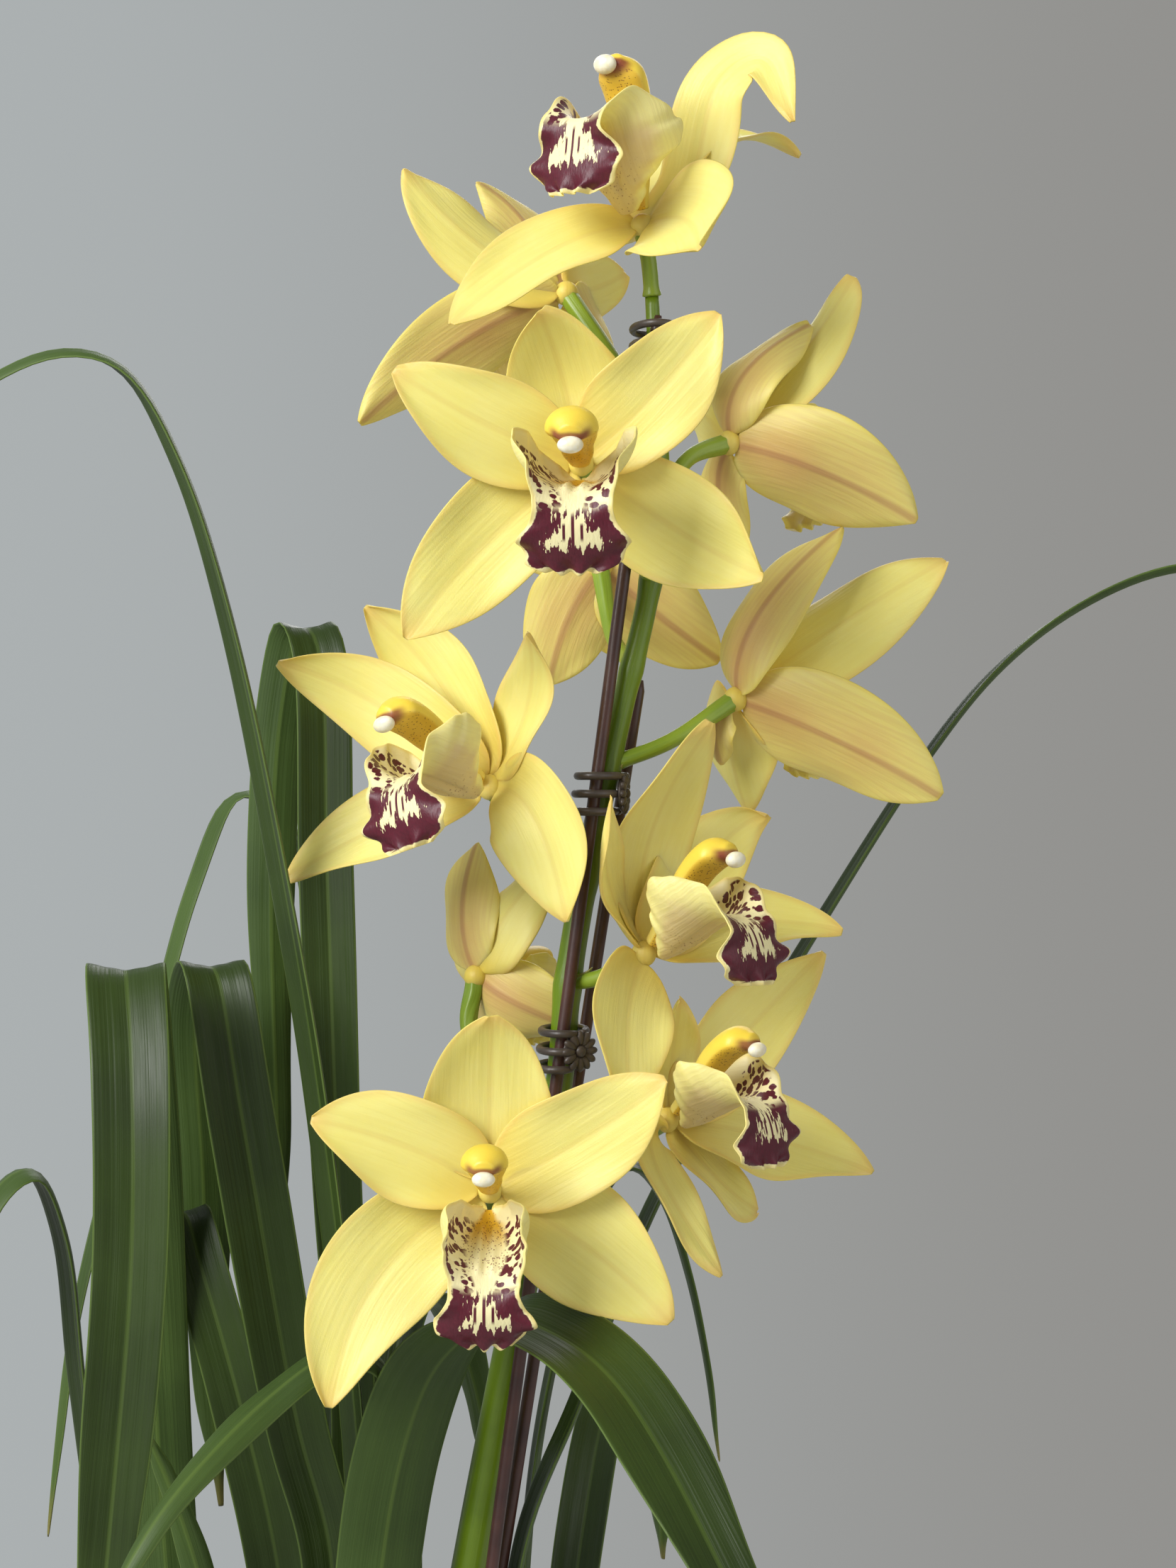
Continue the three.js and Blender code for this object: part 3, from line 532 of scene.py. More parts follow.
def lip_inside_material():
    g = Finish("lip_inside", roughness=0.42, subsurface=0.06)
    along, aside, margin = g.attribute("along"), g.attribute("aside"), g.attribute("margin")
    across = g.absolute(aside)
    lie = g.attribute("lie", "Vector")
    crosswise = g.absolute(g.split(lie)["X"])
    streaks = g.cloud(g.stretch(lie, (0.62, 0.16, 1.0)), 1.0, 3.0, 0.6)
    ripple = g.cloud(lie, 0.55, 2.0)

    mid_lobe = g.fade(along, 0.6, 0.66)
    front = g.scaled(g.fade(along, 0.8, 0.97), 6.0, 0.0)
    inner_edge = g.maths("ADD", g.scaled(streaks, 22.0, -2.4), front)
    band = g.fade(g.less(inner_edge, margin), 0.0, 0.5)
    frill_edge = g.scaled(ripple, 2.0, 0.1)
    inside_frill = g.fade(g.less(margin, frill_edge), 0.0, 0.35)
    horseshoe = g.both(band, inside_frill, mid_lobe)

    dashes = g.freckles(2.9, 1.7, 0.66, 0.06)
    side_lobe = g.both(
        g.fade(across, 0.22, 0.32), g.fade(along, 0.1, 0.2), g.fade(along, 0.66, 0.6))
    waist = g.both(g.fade(along, 0.5, 0.56), g.fade(along, 0.7, 0.66), g.fade(across, 0.25, 0.5))
    plain_rim = g.scaled(g.fade(along, 0.48, 0.3), 5.0, 1.0)
    inside_rim = g.fade(g.less(margin, plain_rim), 0.0, 0.6)
    dashed = g.both(dashes, g.either(side_lobe, waist), inside_rim)
    middle_line = g.both(
        g.fade(crosswise, 0.55, 0.35), g.fade(along, 0.64, 0.68), g.fade(along, 0.93, 0.89))
    beside_middle = g.absolute(g.less(crosswise, 2.5))
    near_line = g.both(
        g.fade(beside_middle, 0.5, 0.3), g.fade(along, 0.7, 0.72), g.fade(along, 0.81, 0.78))

    throat = g.both(g.fade(along, 0.4, 0.15), g.fade(across, 0.45, 0.2))
    speckles = g.freckles(0.85, 0.95, 0.45, 0.08)
    dots = g.both(speckles, g.fade(along, 0.56, 0.46), g.fade(across, 0.42, 0.28))

    ground = g.blend(g.both(g.fade(margin, 1.8, 0.3), 0.7), CREAM, colour(238, 214, 120))
    golden = g.blend(throat, ground, colour(222, 176, 44))
    dotted = g.blend(g.both(dots, 0.75), golden, BRICK)
    burgundy = g.blend(g.cloud(lie, 0.9, 3.0), BURGUNDY, colour(98, 12, 36))
    marks = g.either(horseshoe, dashed, middle_line, near_line)
    painted = g.blend(marks, dotted, burgundy)
    g.paint(painted)
    g.roughen(g.scaled(g.cloud(lie, 4.0, 2.0), 0.25, 0.32))
    creases = g.cloud(g.stretch(lie, (1.4, 0.5, 1.0)), 1.0, 3.0)
    g.emboss(creases, 0.45, 0.35)
    return g.material


def lip_outside_material():
    g = Finish("lip_outside", roughness=0.5, subsurface=0.2)
    along, aside, margin = g.attribute("along"), g.attribute("aside"), g.attribute("margin")
    veins = g.veins(1.2, 0.8)
    freckles = g.freckles(1.0, 1.1, 0.4, 0.12)
    across = g.absolute(aside)
    cloudy = g.cloud(g.attribute("lie", "Vector"), 0.16, 3.0)
    uneven = g.scaled(cloudy, 0.5, across)
    middle = g.both(g.fade(uneven, 1.05, 0.7), g.fade(along, 0.55, 0.4))
    tan = g.blend(g.both(middle, 0.8), colour(240, 228, 146), colour(212, 186, 134))
    streaked = g.blend(g.both(veins["Streak"], 0.1), tan, colour(196, 156, 98))
    near_base = g.both(g.fade(along, 0.34, 0.2), g.fade(across, 0.6, 0.3))
    spotted = g.blend(g.both(freckles, near_base, 0.6), streaked, BRICK)
    # Painted shade: the outside of the front lobe, away from its edges, is darkened towards a mauve
    # brown.
    shadowed = g.both(g.fade(along, 0.6, 0.72), g.fade(margin, 1.2, 2.6))
    painted_shade = g.blend(g.both(shadowed, 0.3), spotted, colour(150, 96, 82))
    edged = g.blend(g.both(g.fade(margin, 1.6, 0.2), 0.6), painted_shade, colour(240, 220, 130))
    g.paint(edged)
    g.emboss(veins["Streak"], 0.3, 0.25)
    return g.material


def column_material():
    g = Finish("column", roughness=0.4, subsurface=0.2)
    along, top = g.attribute("along"), g.attribute("aside")
    freckles = g.freckles(1.0, 1.0, 0.42, 0.1)
    mottle = g.mottle(160.0, 2500.0)
    crown = g.blend(g.fade(along, 0.1, 0.9), colour(232, 212, 112), colour(244, 212, 72))
    under = g.fade(top, 0.0, -0.35)
    body = g.blend(under, crown, colour(228, 186, 58))
    freckled = g.blend(g.both(freckles, under, 0.8), body, BRICK)
    brim = g.both(g.fade(along, 0.9, 0.965), g.fade(top, 0.6, 0.1))
    rimmed = g.blend(g.both(brim, 0.9), freckled, colour(126, 22, 40))
    g.paint(g.blend(g.both(mottle["Patch"], 0.15), rimmed, GOLD))
    g.emboss(mottle["Grain"], 0.25, 0.2)
    return g.material


def anther_material():
    g = Finish("anther_cap", roughness=0.32, subsurface=0.2)
    mottle = g.mottle(420.0, 3000.0)
    ivory = g.blend(mottle["Patch"], colour(250, 244, 222), colour(240, 228, 190))
    g.paint(ivory)
    g.emboss(mottle["Patch"], 0.2, 0.2)
    return g.material


# ---- plant, stake and pot materials -------------------------------------------------------------

def stem_material(name, fresh, shaded, roughness):
    """Smooth green stem: fine stripes along it, a few pale marks and a soft gloss."""
    g = Finish(name, roughness=roughness, coat=0.15)
    mottle = g.mottle(26.0, 1800.0)
    lie = g.attribute("lie", "Vector")
    stripes = g.cloud(g.stretch(lie, (1.6, 0.03, 1.0)), 1.0, 2.0)
    ground = g.blend(mottle["Patch"], fresh, shaded)
    striped = g.blend(g.both(g.fade(stripes, 0.4, 0.7), 0.35), ground, fresh)
    g.paint(striped)
    relief = g.maths("ADD", stripes, g.maths("MULTIPLY", mottle["Grain"], 0.35))
    g.emboss(relief, 0.3, 0.3)
    return g.material


def leaf_material(name, deep, fresh, roughness, rib_share):
    """Strap leaf: fine parallel veins, a pale midrib, thin pale edges and a yellower tip."""
    g = Finish(name, roughness=roughness, coat=0.03, specular=0.3)
    along, margin = g.attribute("along"), g.attribute("margin")
    veins = g.veins(0.7, 0.9, 0.01)
    mottle = g.mottle(16.0, 1200.0)
    dust = g.cloud(g.stretch(g.attribute("lie", "Vector"), (0.5, 0.05, 1.0)), 1.0, 4.0)
    ground = g.blend(mottle["Patch"], deep, fresh)
    based = g.blend(g.both(g.fade(along, 0.32, 0.0), 0.75), ground, colour(112, 140, 52))
    streaked = g.blend(g.both(veins["Streak"], 0.28), based, fresh)
    ribbed = g.blend(g.both(veins["Rib"], rib_share), streaked, colour(96, 118, 50))
    edged = g.blend(g.both(g.fade(margin, 0.6, 0.1), 0.35), ribbed, colour(112, 134, 62))
    tipped = g.blend(g.both(g.fade(along, 0.97, 1.0), 0.6), edged, colour(134, 112, 62))
    g.paint(tipped)
    g.roughen(g.scaled(dust, 0.3, roughness - 0.15))
    relief = g.weighted(veins["Streak"], 0.7, mottle["Grain"], 0.2)
    g.emboss(relief, 0.3, 0.3)
    return g.material


def bulb_material():
    """Pseudobulb wrapped in old leaf sheaths that dry to papery brown at their edges."""
    g = Finish("pseudobulb_sheath", roughness=0.6)
    mottle = g.mottle(60.0, 900.0)
    lie = g.attribute("lie", "Vector")
    fibres = g.cloud(g.stretch(lie, (1.3, 0.05, 1.0)), 1.0, 3.0)
    sheaths = g.cloud(g.stretch(lie, (0.03, 0.13, 1.0)), 1.0, 1.0)
    green = g.blend(mottle["Patch"], colour(104, 128, 58), colour(132, 148, 78))
    papery = g.blend(g.fade(sheaths, 0.5, 0.56), green, colour(156, 128, 84))
    fibrous = g.blend(g.both(g.fade(fibres, 0.5, 0.7), 0.5), papery, colour(104, 82, 50))
    g.paint(fibrous)
    g.emboss(fibres, 0.6, 0.6)
    return g.material


def plastic_material(name, deep, worn, roughness, coat):
    """Moulded plastic: fine grain, faint rubbed patches."""
    g = Finish(name, roughness=roughness, coat=coat)
    mottle = g.mottle(90.0, 2200.0)
    g.paint(g.blend(g.both(mottle["Patch"], 0.7), deep, worn))
    g.roughen(g.scaled(mottle["Grain"], 0.25, roughness - 0.1))
    g.emboss(mottle["Grain"], 0.3, 0.15)
    return g.material


def bark_material():
    g = Finish("bark_chip", roughness=0.95, specular=0.2)
    place = g.add("ShaderNodeTexCoord")["Object"]
    mottle = g.mottle(55.0, 700.0)
    layers = g.cloud(g.stretch(place, (1.0, 1.0, 3.0)), 160.0, 5.0, 0.7)
    ground = g.blend(mottle["Patch"], colour(58, 38, 26), colour(112, 74, 46))
    g.paint(g.blend(g.fade(layers, 0.42, 0.68), ground, colour(146, 104, 66)))
    g.emboss(layers, 0.8, 1.2)
    return g.material


def pot_material():
    """Pale stoneware under a thin satin glaze, with iron specks."""
    g = Finish("pot_glaze", roughness=0.38, coat=0.35)
    place = g.add("ShaderNodeTexCoord")["Object"]
    mottle = g.mottle(14.0, 260.0)
    specks = g.fade(g.cells(place, 320.0), 0.16, 0.08)
    sparse = g.both(specks, g.fade(g.cloud(place, 60.0, 2.0), 0.52, 0.6))
    ground = g.blend(mottle["Patch"], colour(206, 202, 192), colour(220, 216, 207))
    g.paint(g.blend(g.both(sparse, 0.7), ground, colour(118, 96, 74)))
    g.emboss(mottle["Grain"], 0.12, 0.5)
    return g.material


def floor_material():
    g = Finish("floor_paint", roughness=0.85)
    mottle = g.mottle(1.5, 40.0)
    grey = g.blend(mottle["Patch"], colour(196, 196, 194), colour(202, 202, 200))
    g.paint(grey)
    return g.material


tepal_face = tepal_face_material()
tepal_back = tepal_back_material()
lip_inside = lip_inside_material()
lip_outside = lip_outside_material()
column_skin = column_material()
anther_cap = anther_material()
pedicel_skin = stem_material("pedicel_skin", colour(146, 168, 50), colour(108, 138, 28), 0.38)
spike_skin = stem_material("spike_skin", colour(112, 140, 16), colour(80, 106, 8), 0.38)
bract_skin = stem_material("bract_skin", colour(168, 166, 84), colour(136, 128, 62), 0.5)
leaf_upper = leaf_material("leaf_upper", colour(34, 48, 12), colour(50, 68, 20), 0.44, 0.3)
leaf_under = leaf_material("leaf_under", colour(52, 72, 26), colour(70, 92, 38), 0.52, 0.45)
bulb_skin = bulb_material()
stake_skin = plastic_material("stake_coating", colour(58, 32, 28), colour(84, 50, 42), 0.4, 0.2)
clip_skin = plastic_material("clip_plastic", colour(56, 48, 43), colour(82, 72, 64), 0.42, 0.1)
bark_skin = bark_material()
pot_glaze = pot_material()


# ---- spike and stakes ---------------------------------------------------------------------------

spike_route = smooth_route([vec(place) for place in (
    (-7, 0, 165.3), (-6.6, 0, 185), (2, 0, 250), (27, 0, 391), (37, 0, 445), (55, 0, 542),
    (58, 0, 575), (66, 0, 620), (75, 0, 660), (83, 0, 695), (86, 0, 722), (85, 0, 765),
    (84, 0, 787))])
spike_radius = keyed((0, 6.4), (0.35, 5.6), (0.65, SPIKE_MIDDLE_RADIUS), (0.85, 3.4), (1, 2.2))


def spike_share(height):
    low, high = 0.0, 1.0
    for _ in range(24):
        middle = (low + high) / 2
        if spike_route.place(middle).z < height * MM:
            low = middle
        else:
            high = middle
    return low


STAKES = {
    "support_stake_front": ((4, -11, MIX_LEVEL), (85.8, -5.5, 780)),
    "support_stake_rear": ((2, 12, MIX_LEVEL), (80.5, 11, 668)),
}


def build_stake(name, foot, top):
    foot, top = vec(foot), vec(top)
    buried = foot + (foot - top).normalized() * (STAKE_DEPTH * MM)
    bm = new_mesh()
    rounded = keyed((0, 0.55), (0.006, 1), (0.994, 1), (1, 0.55))
    add_rod(bm, Route([buried, top]), lambda share: STAKE_RADIUS * MM * rounded(share), 20, 180)
    finish_piece(bm, name + "_rod", [name], [stake_skin])


for stake_name, (stake_foot, stake_top) in STAKES.items():
    build_stake(stake_name, stake_foot, stake_top)


# ---- stake clips --------------------------------------------------------------------------------

CLIPS = {
    "stake_clip_lower": (553, 35),
    "stake_clip_middle": (632, 80),
    "stake_clip_upper": (771, 60),
}


def stake_place(height):
    foot, top = (vec(place) for place in STAKES["support_stake_front"])
    return foot.lerp(top, (height * MM - foot.z) / (top.z - foot.z))


def clip_oval(level):
    """Middle, half length, half breadth and bearing of the loop round the spike and the stake."""
    stem = spike_route.place(spike_share(level))
    spread = stake_place(level) - stem
    spread.z = 0
    breadth = (SPIKE_MIDDLE_RADIUS + CLIP_ROOM + CLIP_WIRE_RADIUS) * MM
    return stem + spread / 2, spread.length / 2 + breadth, breadth, math.atan2(spread.y, spread.x)


def oval_reach(angle, oval):
    _, reach, breadth, along = oval
    return 1 / math.hypot(math.cos(angle - along) / reach, math.sin(angle - along) / breadth)


def add_finger(bm, oval, facing):
    """One claw finger: an open loop that thins to a rounded tip on each side of the medallion."""
    opening = 0.25 * MEDALLION_RADIUS * MM / oval_reach(facing, oval)
    places = []
    for step in range(25):
        angle = facing + opening + (2 * math.pi - 2 * opening) * step / 24
        out = oval_reach(angle, oval)
        places.append(oval[0] + Vector((math.cos(angle), math.sin(angle), 0)) * out)
    thinning = keyed((0, 0.75), (0.06, 1), (0.94, 1), (1, 0.75))
    add_rod(bm, smooth_route(places, 4), lambda share: CLIP_WIRE_RADIUS * MM * thinning(share),
            12, 60, across=Vector((0, 0, 1)))


def add_medallion(bm, place, facing):
    """A daisy: a dished disc, a ring of rounded petals and a button at the middle."""
    turn = Matrix.Rotation(facing, 3, "Z") @ Matrix.Rotation(math.pi / 2, 3, "Y")
    disc_radius = MEDALLION_RADIUS * 0.86 * MM
    add_ball(bm, place, (disc_radius, disc_radius, 1.1 * MM), turn, rings=12)
    for petal in range(MEDALLION_PETALS):
        spoke = turn @ Matrix.Rotation(2 * math.pi * petal / MEDALLION_PETALS, 3, "Z")
        middle = place + spoke @ vec((MEDALLION_RADIUS * 0.62, 0, 0.9))
        add_ball(bm, middle, (2.5 * MM, 1.35 * MM, 1.15 * MM), spoke, rings=8)
    add_ball(bm, place + turn @ vec((0, 0, 1.3)), (1.9 * MM, 1.9 * MM, 1.4 * MM), turn, rings=10)


def build_clip(name, height, facing):
    bearing = math.radians(facing - 90)
    bm = new_mesh()
    for finger in range(CLIP_FINGERS):
        level = height + (finger - (CLIP_FINGERS - 1) / 2) * CLIP_FINGER_PITCH
        add_finger(bm, clip_oval(level), bearing)
    oval = clip_oval(height)
    outwards = Vector((math.cos(bearing), math.sin(bearing), 0))
    add_medallion(bm, oval[0] + outwards * (oval_reach(bearing, oval) + 0.4 * MM), bearing)
    finish_piece(bm, name + "_claw", [name], [clip_skin])


for clip_name, (clip_height, clip_facing) in CLIPS.items():
    build_clip(clip_name, clip_height, clip_facing)


# ---- flowers ------------------------------------------------------------------------------------

# Places are from the flower's hub, in millimetres. `column` is the way its column points, `up`
# leans towards the dorsal sepal, `leaves` is the height where its pedicel leaves the spike and `by`
# the places that it goes by. `scale` sizes its lip and column, and `lip` names the floor that its
# lip follows. A tepal is the places that it passes, its tip, its width and, where it turns away from
# the column's direction, the way that its face looks.
FLOWERS = [
    {"hub": (81, -4, 808), "column": (-15, -23, 43), "up": (0.6, 0.6, 0.53),
     "scale": 1.1, "lip": "recurved", "leaves": None, "by": [(83, -2, 797)],
     "sepals": [([(15, 12, 15), (24, 6, 46), (37, 2, 53)], (46, -8, 30), 22, (-0.35, -0.9, 0.2)),
                ([(-27, -8, -9)], (-58, -22, -35), 28, (0.1, -0.7, 0.7)),
                ([(12, -20, -3)], (16, -36, -16), 38, (-0.63, -0.47, 0.61))],
     "petals": [([(-6, 34, 4)], (-24, 58, 14), 24), ([(26, 34, 36)], (53, 44, 34), 28)]},
    {"hub": (57, 26, 794), "column": (-34, 30, 2), "up": (0, -0.3, 0.95),
     "scale": 0.9, "lip": "level", "leaves": 738, "by": [(77, 14, 762)],
     "sepals": [([(-15, 14, 27)], (-30, 14, 40), 28),
                ([(-34, -6, -17)], (-66, -10, -44), 28), ([(10, 30, -16)], (12, 50, -36), 28)],
     "petals": [([(-30, -6, 15)], (-52, -6, 39), 27), ([(10, 26, 8)], (20, 44, 17), 26)]},
    {"hub": (62, -42, 729), "column": (-3, -48, -6), "up": (0, 0, 1),
     "scale": 1, "lip": "level", "leaves": 700, "by": [(76, -22, 708)],
     "sepals": [([(-5, 2, 24)], (-12, -13, 42), 35),
                ([(-29, -2, -25)], (-51, -6, -52), 32), ([(30, -2, -21)], (52, -20, -35), 32)],
     "petals": [([(-27, -8, 10)], (-54, -12, 25), 29), ([(20, -6, 18)], (40, -9, 42), 30)]},
    {"hub": (109, 16, 744), "column": (38, 30, 4), "up": (-0.2, 0.1, 0.95),
     "scale": 0.9, "lip": "level", "leaves": 722, "by": [(96, 8, 738)],
     "sepals": [([(5, -2, 21)], (27, 6, 39), 26),
                ([(-2, 9, -16)], (6, 12, -38), 20), ([(30, -10, -11)], (59, -8, -26), 35)],
     "petals": [([(26, 6, 31)], (42, 16, 57), 28), ([(-8, 20, 14)], (-14, 40, 20), 24)]},
    {"hub": (111, 12, 662), "column": (38, 29, 5), "up": (0, 0, 0.98),
     "scale": 0.9, "lip": "level", "leaves": 641, "by": [(89, 4, 648)],
     "sepals": [([(7, -6, 26)], (34, 2, 55), 26),
                ([(-6, 3, -8)], (-4, 8, -21), 15), ([(33, -10, -14)], (64, -8, -31), 36)],
     "petals": [([(0, 18, -15)], (6, 26, -37), 34), ([(36, 2, 25)], (68, 8, 45), 32)]},
    {"hub": (34, -14, 634), "column": (-30, -31, 15), "up": (0, 0.4, 0.9),
     "scale": 1, "lip": "level", "leaves": 607, "by": [(50, -10, 618)],
     "sepals": [([(-16, 18, 32)], (-40, 18, 57), 30),
                ([(-30, 10, -10)], (-64, 10, -29), 28), ([(14, -14, -9)], (24, -20, -40), 30)],
     "petals": [([(-36, 12, 26)], (-66, 8, 39), 27), ([(12, -2, 26)], (12, -8, 47), 24)]},
    {"hub": (81, -14, 583), "column": (29, -24, 27), "up": (-0.35, 0.35, 0.87),
     "scale": 1, "lip": "level", "leaves": 573, "by": [(67, -7, 575)],
     "sepals": [([(2, 12, 35)], (21, 0, 71), 30),
                ([(-5, -14, -17)], (-5, -26, -43), 30), ([(31, 24, 8)], (64, 26, 5), 26)],
     "petals": [([(-11, -8, 23)], (-10, -26, 48), 20), ([(25, 30, 32)], (41, 32, 42), 28)]},
    {"hub": (88, -12, 532), "column": (30, -26, 23), "up": (-0.3, 0.3, 0.9),
     "scale": 0.92, "lip": "level", "leaves": 520, "by": [(68, -7, 520)],
     "sepals": [([(2, 6, 19)], (4, 2, 37), 20),
                ([(18, 12, -22)], (30, 26, -33), 22), ([(33, 22, -9)], (66, 20, -20), 32)],
     "petals": [([(-4, -12, -11)], (16, -18, -44), 18), ([(29, 30, 26)], (52, 36, 49), 28)]},
    {"hub": (35, -36, 515), "column": (0, -48, 8), "up": (0, 0, 1),
     "scale": 0.9, "lip": "hanging", "leaves": 500, "by": [(38, -8, 500), (36, -24, 505)],
     "sepals": [([(0, 0, 28)], (1, -14, 53), 38),
                ([(-32, -4, -24)], (-46, -16, -60), 34), ([(30, -4, -17)], (53, -10, -37), 34)],
     "petals": [([(-25, -5, 14)], (-52, -8, 22), 30), ([(26, -5, 15)], (52, -12, 34), 31)]},
    {"hub": (28, 20, 573), "column": (32, 32, -3), "up": (-0.25, 0, 0.97),
     "scale": 0.7, "lip": "level", "leaves": 533, "by": [(36, 12, 540), (26, 17, 556)],
     "sepals": [([(-4, 2, 21)], (0, 8, 43), 26),
                ([(-2, 24, -14)], (2, 42, -26), 24), ([(14, -7, -8)], (33, -5, -16), 26)],
     "petals": [([(11, -7, 21)], (25, -3, 38), 24), ([(-2, 26, 16)], (4, 44, 26), 24)]},
    {"hub": (68, 34, 706), "column": (0, 48, 6), "up": (0, 0.1, 1),
     "scale": 0.95, "lip": "level", "leaves": 672, "by": [(72, 18, 682)],
     "sepals": [([(0, 2, 24)], (1, 10, 46), 30),
                ([(-11, 4, -18)], (-17, 12, -38), 30), ([(20, 4, -16)], (40, 12, -30), 30)],
     "petals": [([(-20, 4, 13)], (-44, 12, 22), 28), ([(17, 12, 18)], (32, 24, 28), 26)]},
]


def tepal_outline(share):
    """Half width along a tepal: a narrow base, broadest before the middle, a blunt point."""
    return max(math.sin(math.pi * share ** 0.86) ** 0.64 + 0.24 * (1 - share) ** 2, 0.08)


def tepal_relief(rng):
    """A grooved midrib, edges that wave a little and a faint swell, different on every tepal."""
    left, right, swell = (rng.uniform(0, 2 * math.pi) for _ in range(3))

    def relief(aside, share, half):
        groove = -0.55 * math.exp(-(aside * half / (1.5 * MM)) ** 2)
        groove *= math.sin(math.pi * min(1, share * 1.1))
        phase = left if aside < 0 else right
        wave = 1.3 * smooth_step(abs(aside), 0.45, 1) * math.sin(2 * math.pi * 1.5 * share + phase)
        broad = 0.8 * math.sin(2 * math.pi * share + swell) * aside
        return (groove + wave + broad) * MM
    return relief


def add_tepal(bm, hub, forward, shape, finishes, rng):
    places, tip, width, *turned = shape
    places, tip = [vec(place) for place in places], vec(tip)
    start = hub + places[0].normalized() * (HUB_RADIUS * 0.6 * MM)
    if len(places) > 1:
        route = smooth_route([start, *(hub + place for place in places), hub + tip])
    else:
        route = arc_through(start, hub + places[0], hub + tip)
    face = Vector(turned[0]) if turned else forward
    half = width / 2 * MM

    def across_at(share):
        return face.cross(route.direction(share) if turned else tip).normalized()

    add_blade(bm, route, across_at, lambda share: half * tepal_outline(share),
              lambda share: 0.42, TEPAL_THICKNESS * MM, 16, 30, tepal_relief(rng), finishes)


def build_perianth(number, hub, forward, flower):
    """The five tepals of a flower, its pedicel and its ovary, as one grown piece."""
    rng = random.Random(number)
    bm = new_mesh()
    for sepal in flower["sepals"]:
        add_tepal(bm, hub, forward, sepal, (0, 1), rng)
    for petal in flower["petals"]:
        add_tepal(bm, hub, forward, petal, (0, 0), rng)
    leaves, by = flower["leaves"], flower["by"]
    start = spike_route.place(1.0 if leaves is None else spike_share(leaves))
    route = smooth_route([start, *(vec(place) for place in by), hub])
    stalk = keyed((0, 1.25 * PEDICEL_RADIUS), (0.15, PEDICEL_RADIUS), (0.5, PEDICEL_RADIUS),
                  (1, OVARY_RADIUS))

    def ribbed(x, y, share):
        swell = 1 + 0.06 * smooth_step(share, 0.4, 0.8) * math.cos(6 * math.atan2(y, x))
        return x * swell, y * swell

    add_rod(bm, route, lambda share: stalk(share) * MM, 24, 24, 2, Vector((0.3, 0.2, 1)), ribbed)
    add_ball(bm, hub, (HUB_RADIUS * 0.92 * MM,) * 3)
    name = f"flower_{number:02d}"
    finish_piece(bm, name + "_tepals", [name + "_perianth"],
                 [tepal_face, tepal_back, pedicel_skin], rounding=1)


# Lip and column are drawn in a plane through the flower: ahead along the column, and above.
LIP_FLOORS = {
    "level": [(6, -5.5), (15, -7.5), (26, -8), (34, -9.5), (38, -15), (37, -23), (32, -31.5)],
    "recurved": [(6, -5.5), (15, -8), (26, -8.5), (33, -9), (35.5, -13), (29, -18.5), (19.5, -25)],
    "hanging": [(6, -6.5), (15, -14), (24, -21), (32, -29), (35, -36.5), (32, -43), (26, -48.5)],
}
HANGING_CLASP = 1.3  # how much further the side lobes of a hanging lip turn inwards
lip_half_width = keyed(
    (0, 4), (0.08, 9), (0.18, 18), (0.28, 25), (0.38, 27.5), (0.46, 25), (0.53, 18), (0.6, 12),
    (0.66, 11.5), (0.83, 16.5), (0.94, 14), (1, 8))
lip_bend = keyed(
    (0, 1.2), (0.12, 1.6), (0.25, 1.75), (0.4, 1.6), (0.52, 1.4), (0.62, 0.5), (0.78, -0.2),
    (1, -0.5))
COLUMN_AXIS = [(5, 0), (14, 2.5), (24, 6), (33, 8.5), (40, 8.5), (45.5, 6)]
column_radius = keyed((0, 3.2), (0.3, 4.8), (0.6, 6), (0.85, 6.2), (1, 3.4))


def floral_route(hub, axes, scale, points):
    """A route through points of (ahead, above), stretched away from the hub's skin."""
    forward, up, _ = axes
    return smooth_route([hub + forward * ((HUB_RADIUS + (ahead - HUB_RADIUS) * scale) * MM)
                         + up * (above * scale * MM) for ahead, above in points])


def lip_relief(scale, rng):
    """Two raised calluses on the floor and a frilled margin round the mid-lobe."""
    phase = rng.uniform(0, 2 * math.pi)

    def relief(aside, share, half):
        beside = abs(aside) * half / (MM * scale)
        callus = 1.7 * math.exp(-((beside - 2.5) / 1.2) ** 2)
        callus *= smooth_step(share, 0.1, 0.2) * smooth_step(0.56 - share, 0, 0.08)
        frill = 1.5 * smooth_step(share, 0.6, 0.72) * smooth_step(abs(aside), 0.5, 1)
        frill *= math.sin(2 * math.pi * 5.5 * share + phase * (1 if aside < 0 else -1))
        front = 1.3 * smooth_step(share, 0.88, 1) * math.sin(2 * math.pi * 1.7 * aside + phase)
        lobe = 0.8 * smooth_step(abs(aside), 0.6, 1) * smooth_step(0.58 - share, 0, 0.1)
        lobe *= math.sin(2 * math.pi * 4 * share + phase)
        return (callus + frill + front + lobe) * MM * scale
    return relief


def build_lip(number, hub, axes, scale, kind):
    bm = new_mesh()

    def bend(share):
        return lip_bend(share) * (HANGING_CLASP if kind == "hanging" and share < 0.5 else 1)

    right = axes[2]
    add_blade(bm, floral_route(hub, axes, scale, LIP_FLOORS[kind]), lambda _: right,
              lambda share: lip_half_width(share) * scale * MM, bend, LIP_THICKNESS * MM, 44, 60,
              lip_relief(scale, random.Random(100 + number)), (0, 1))
    name = f"flower_{number:02d}_lip"
    finish_piece(bm, name + "_blade", [name], [lip_inside, lip_outside], rounding=1)


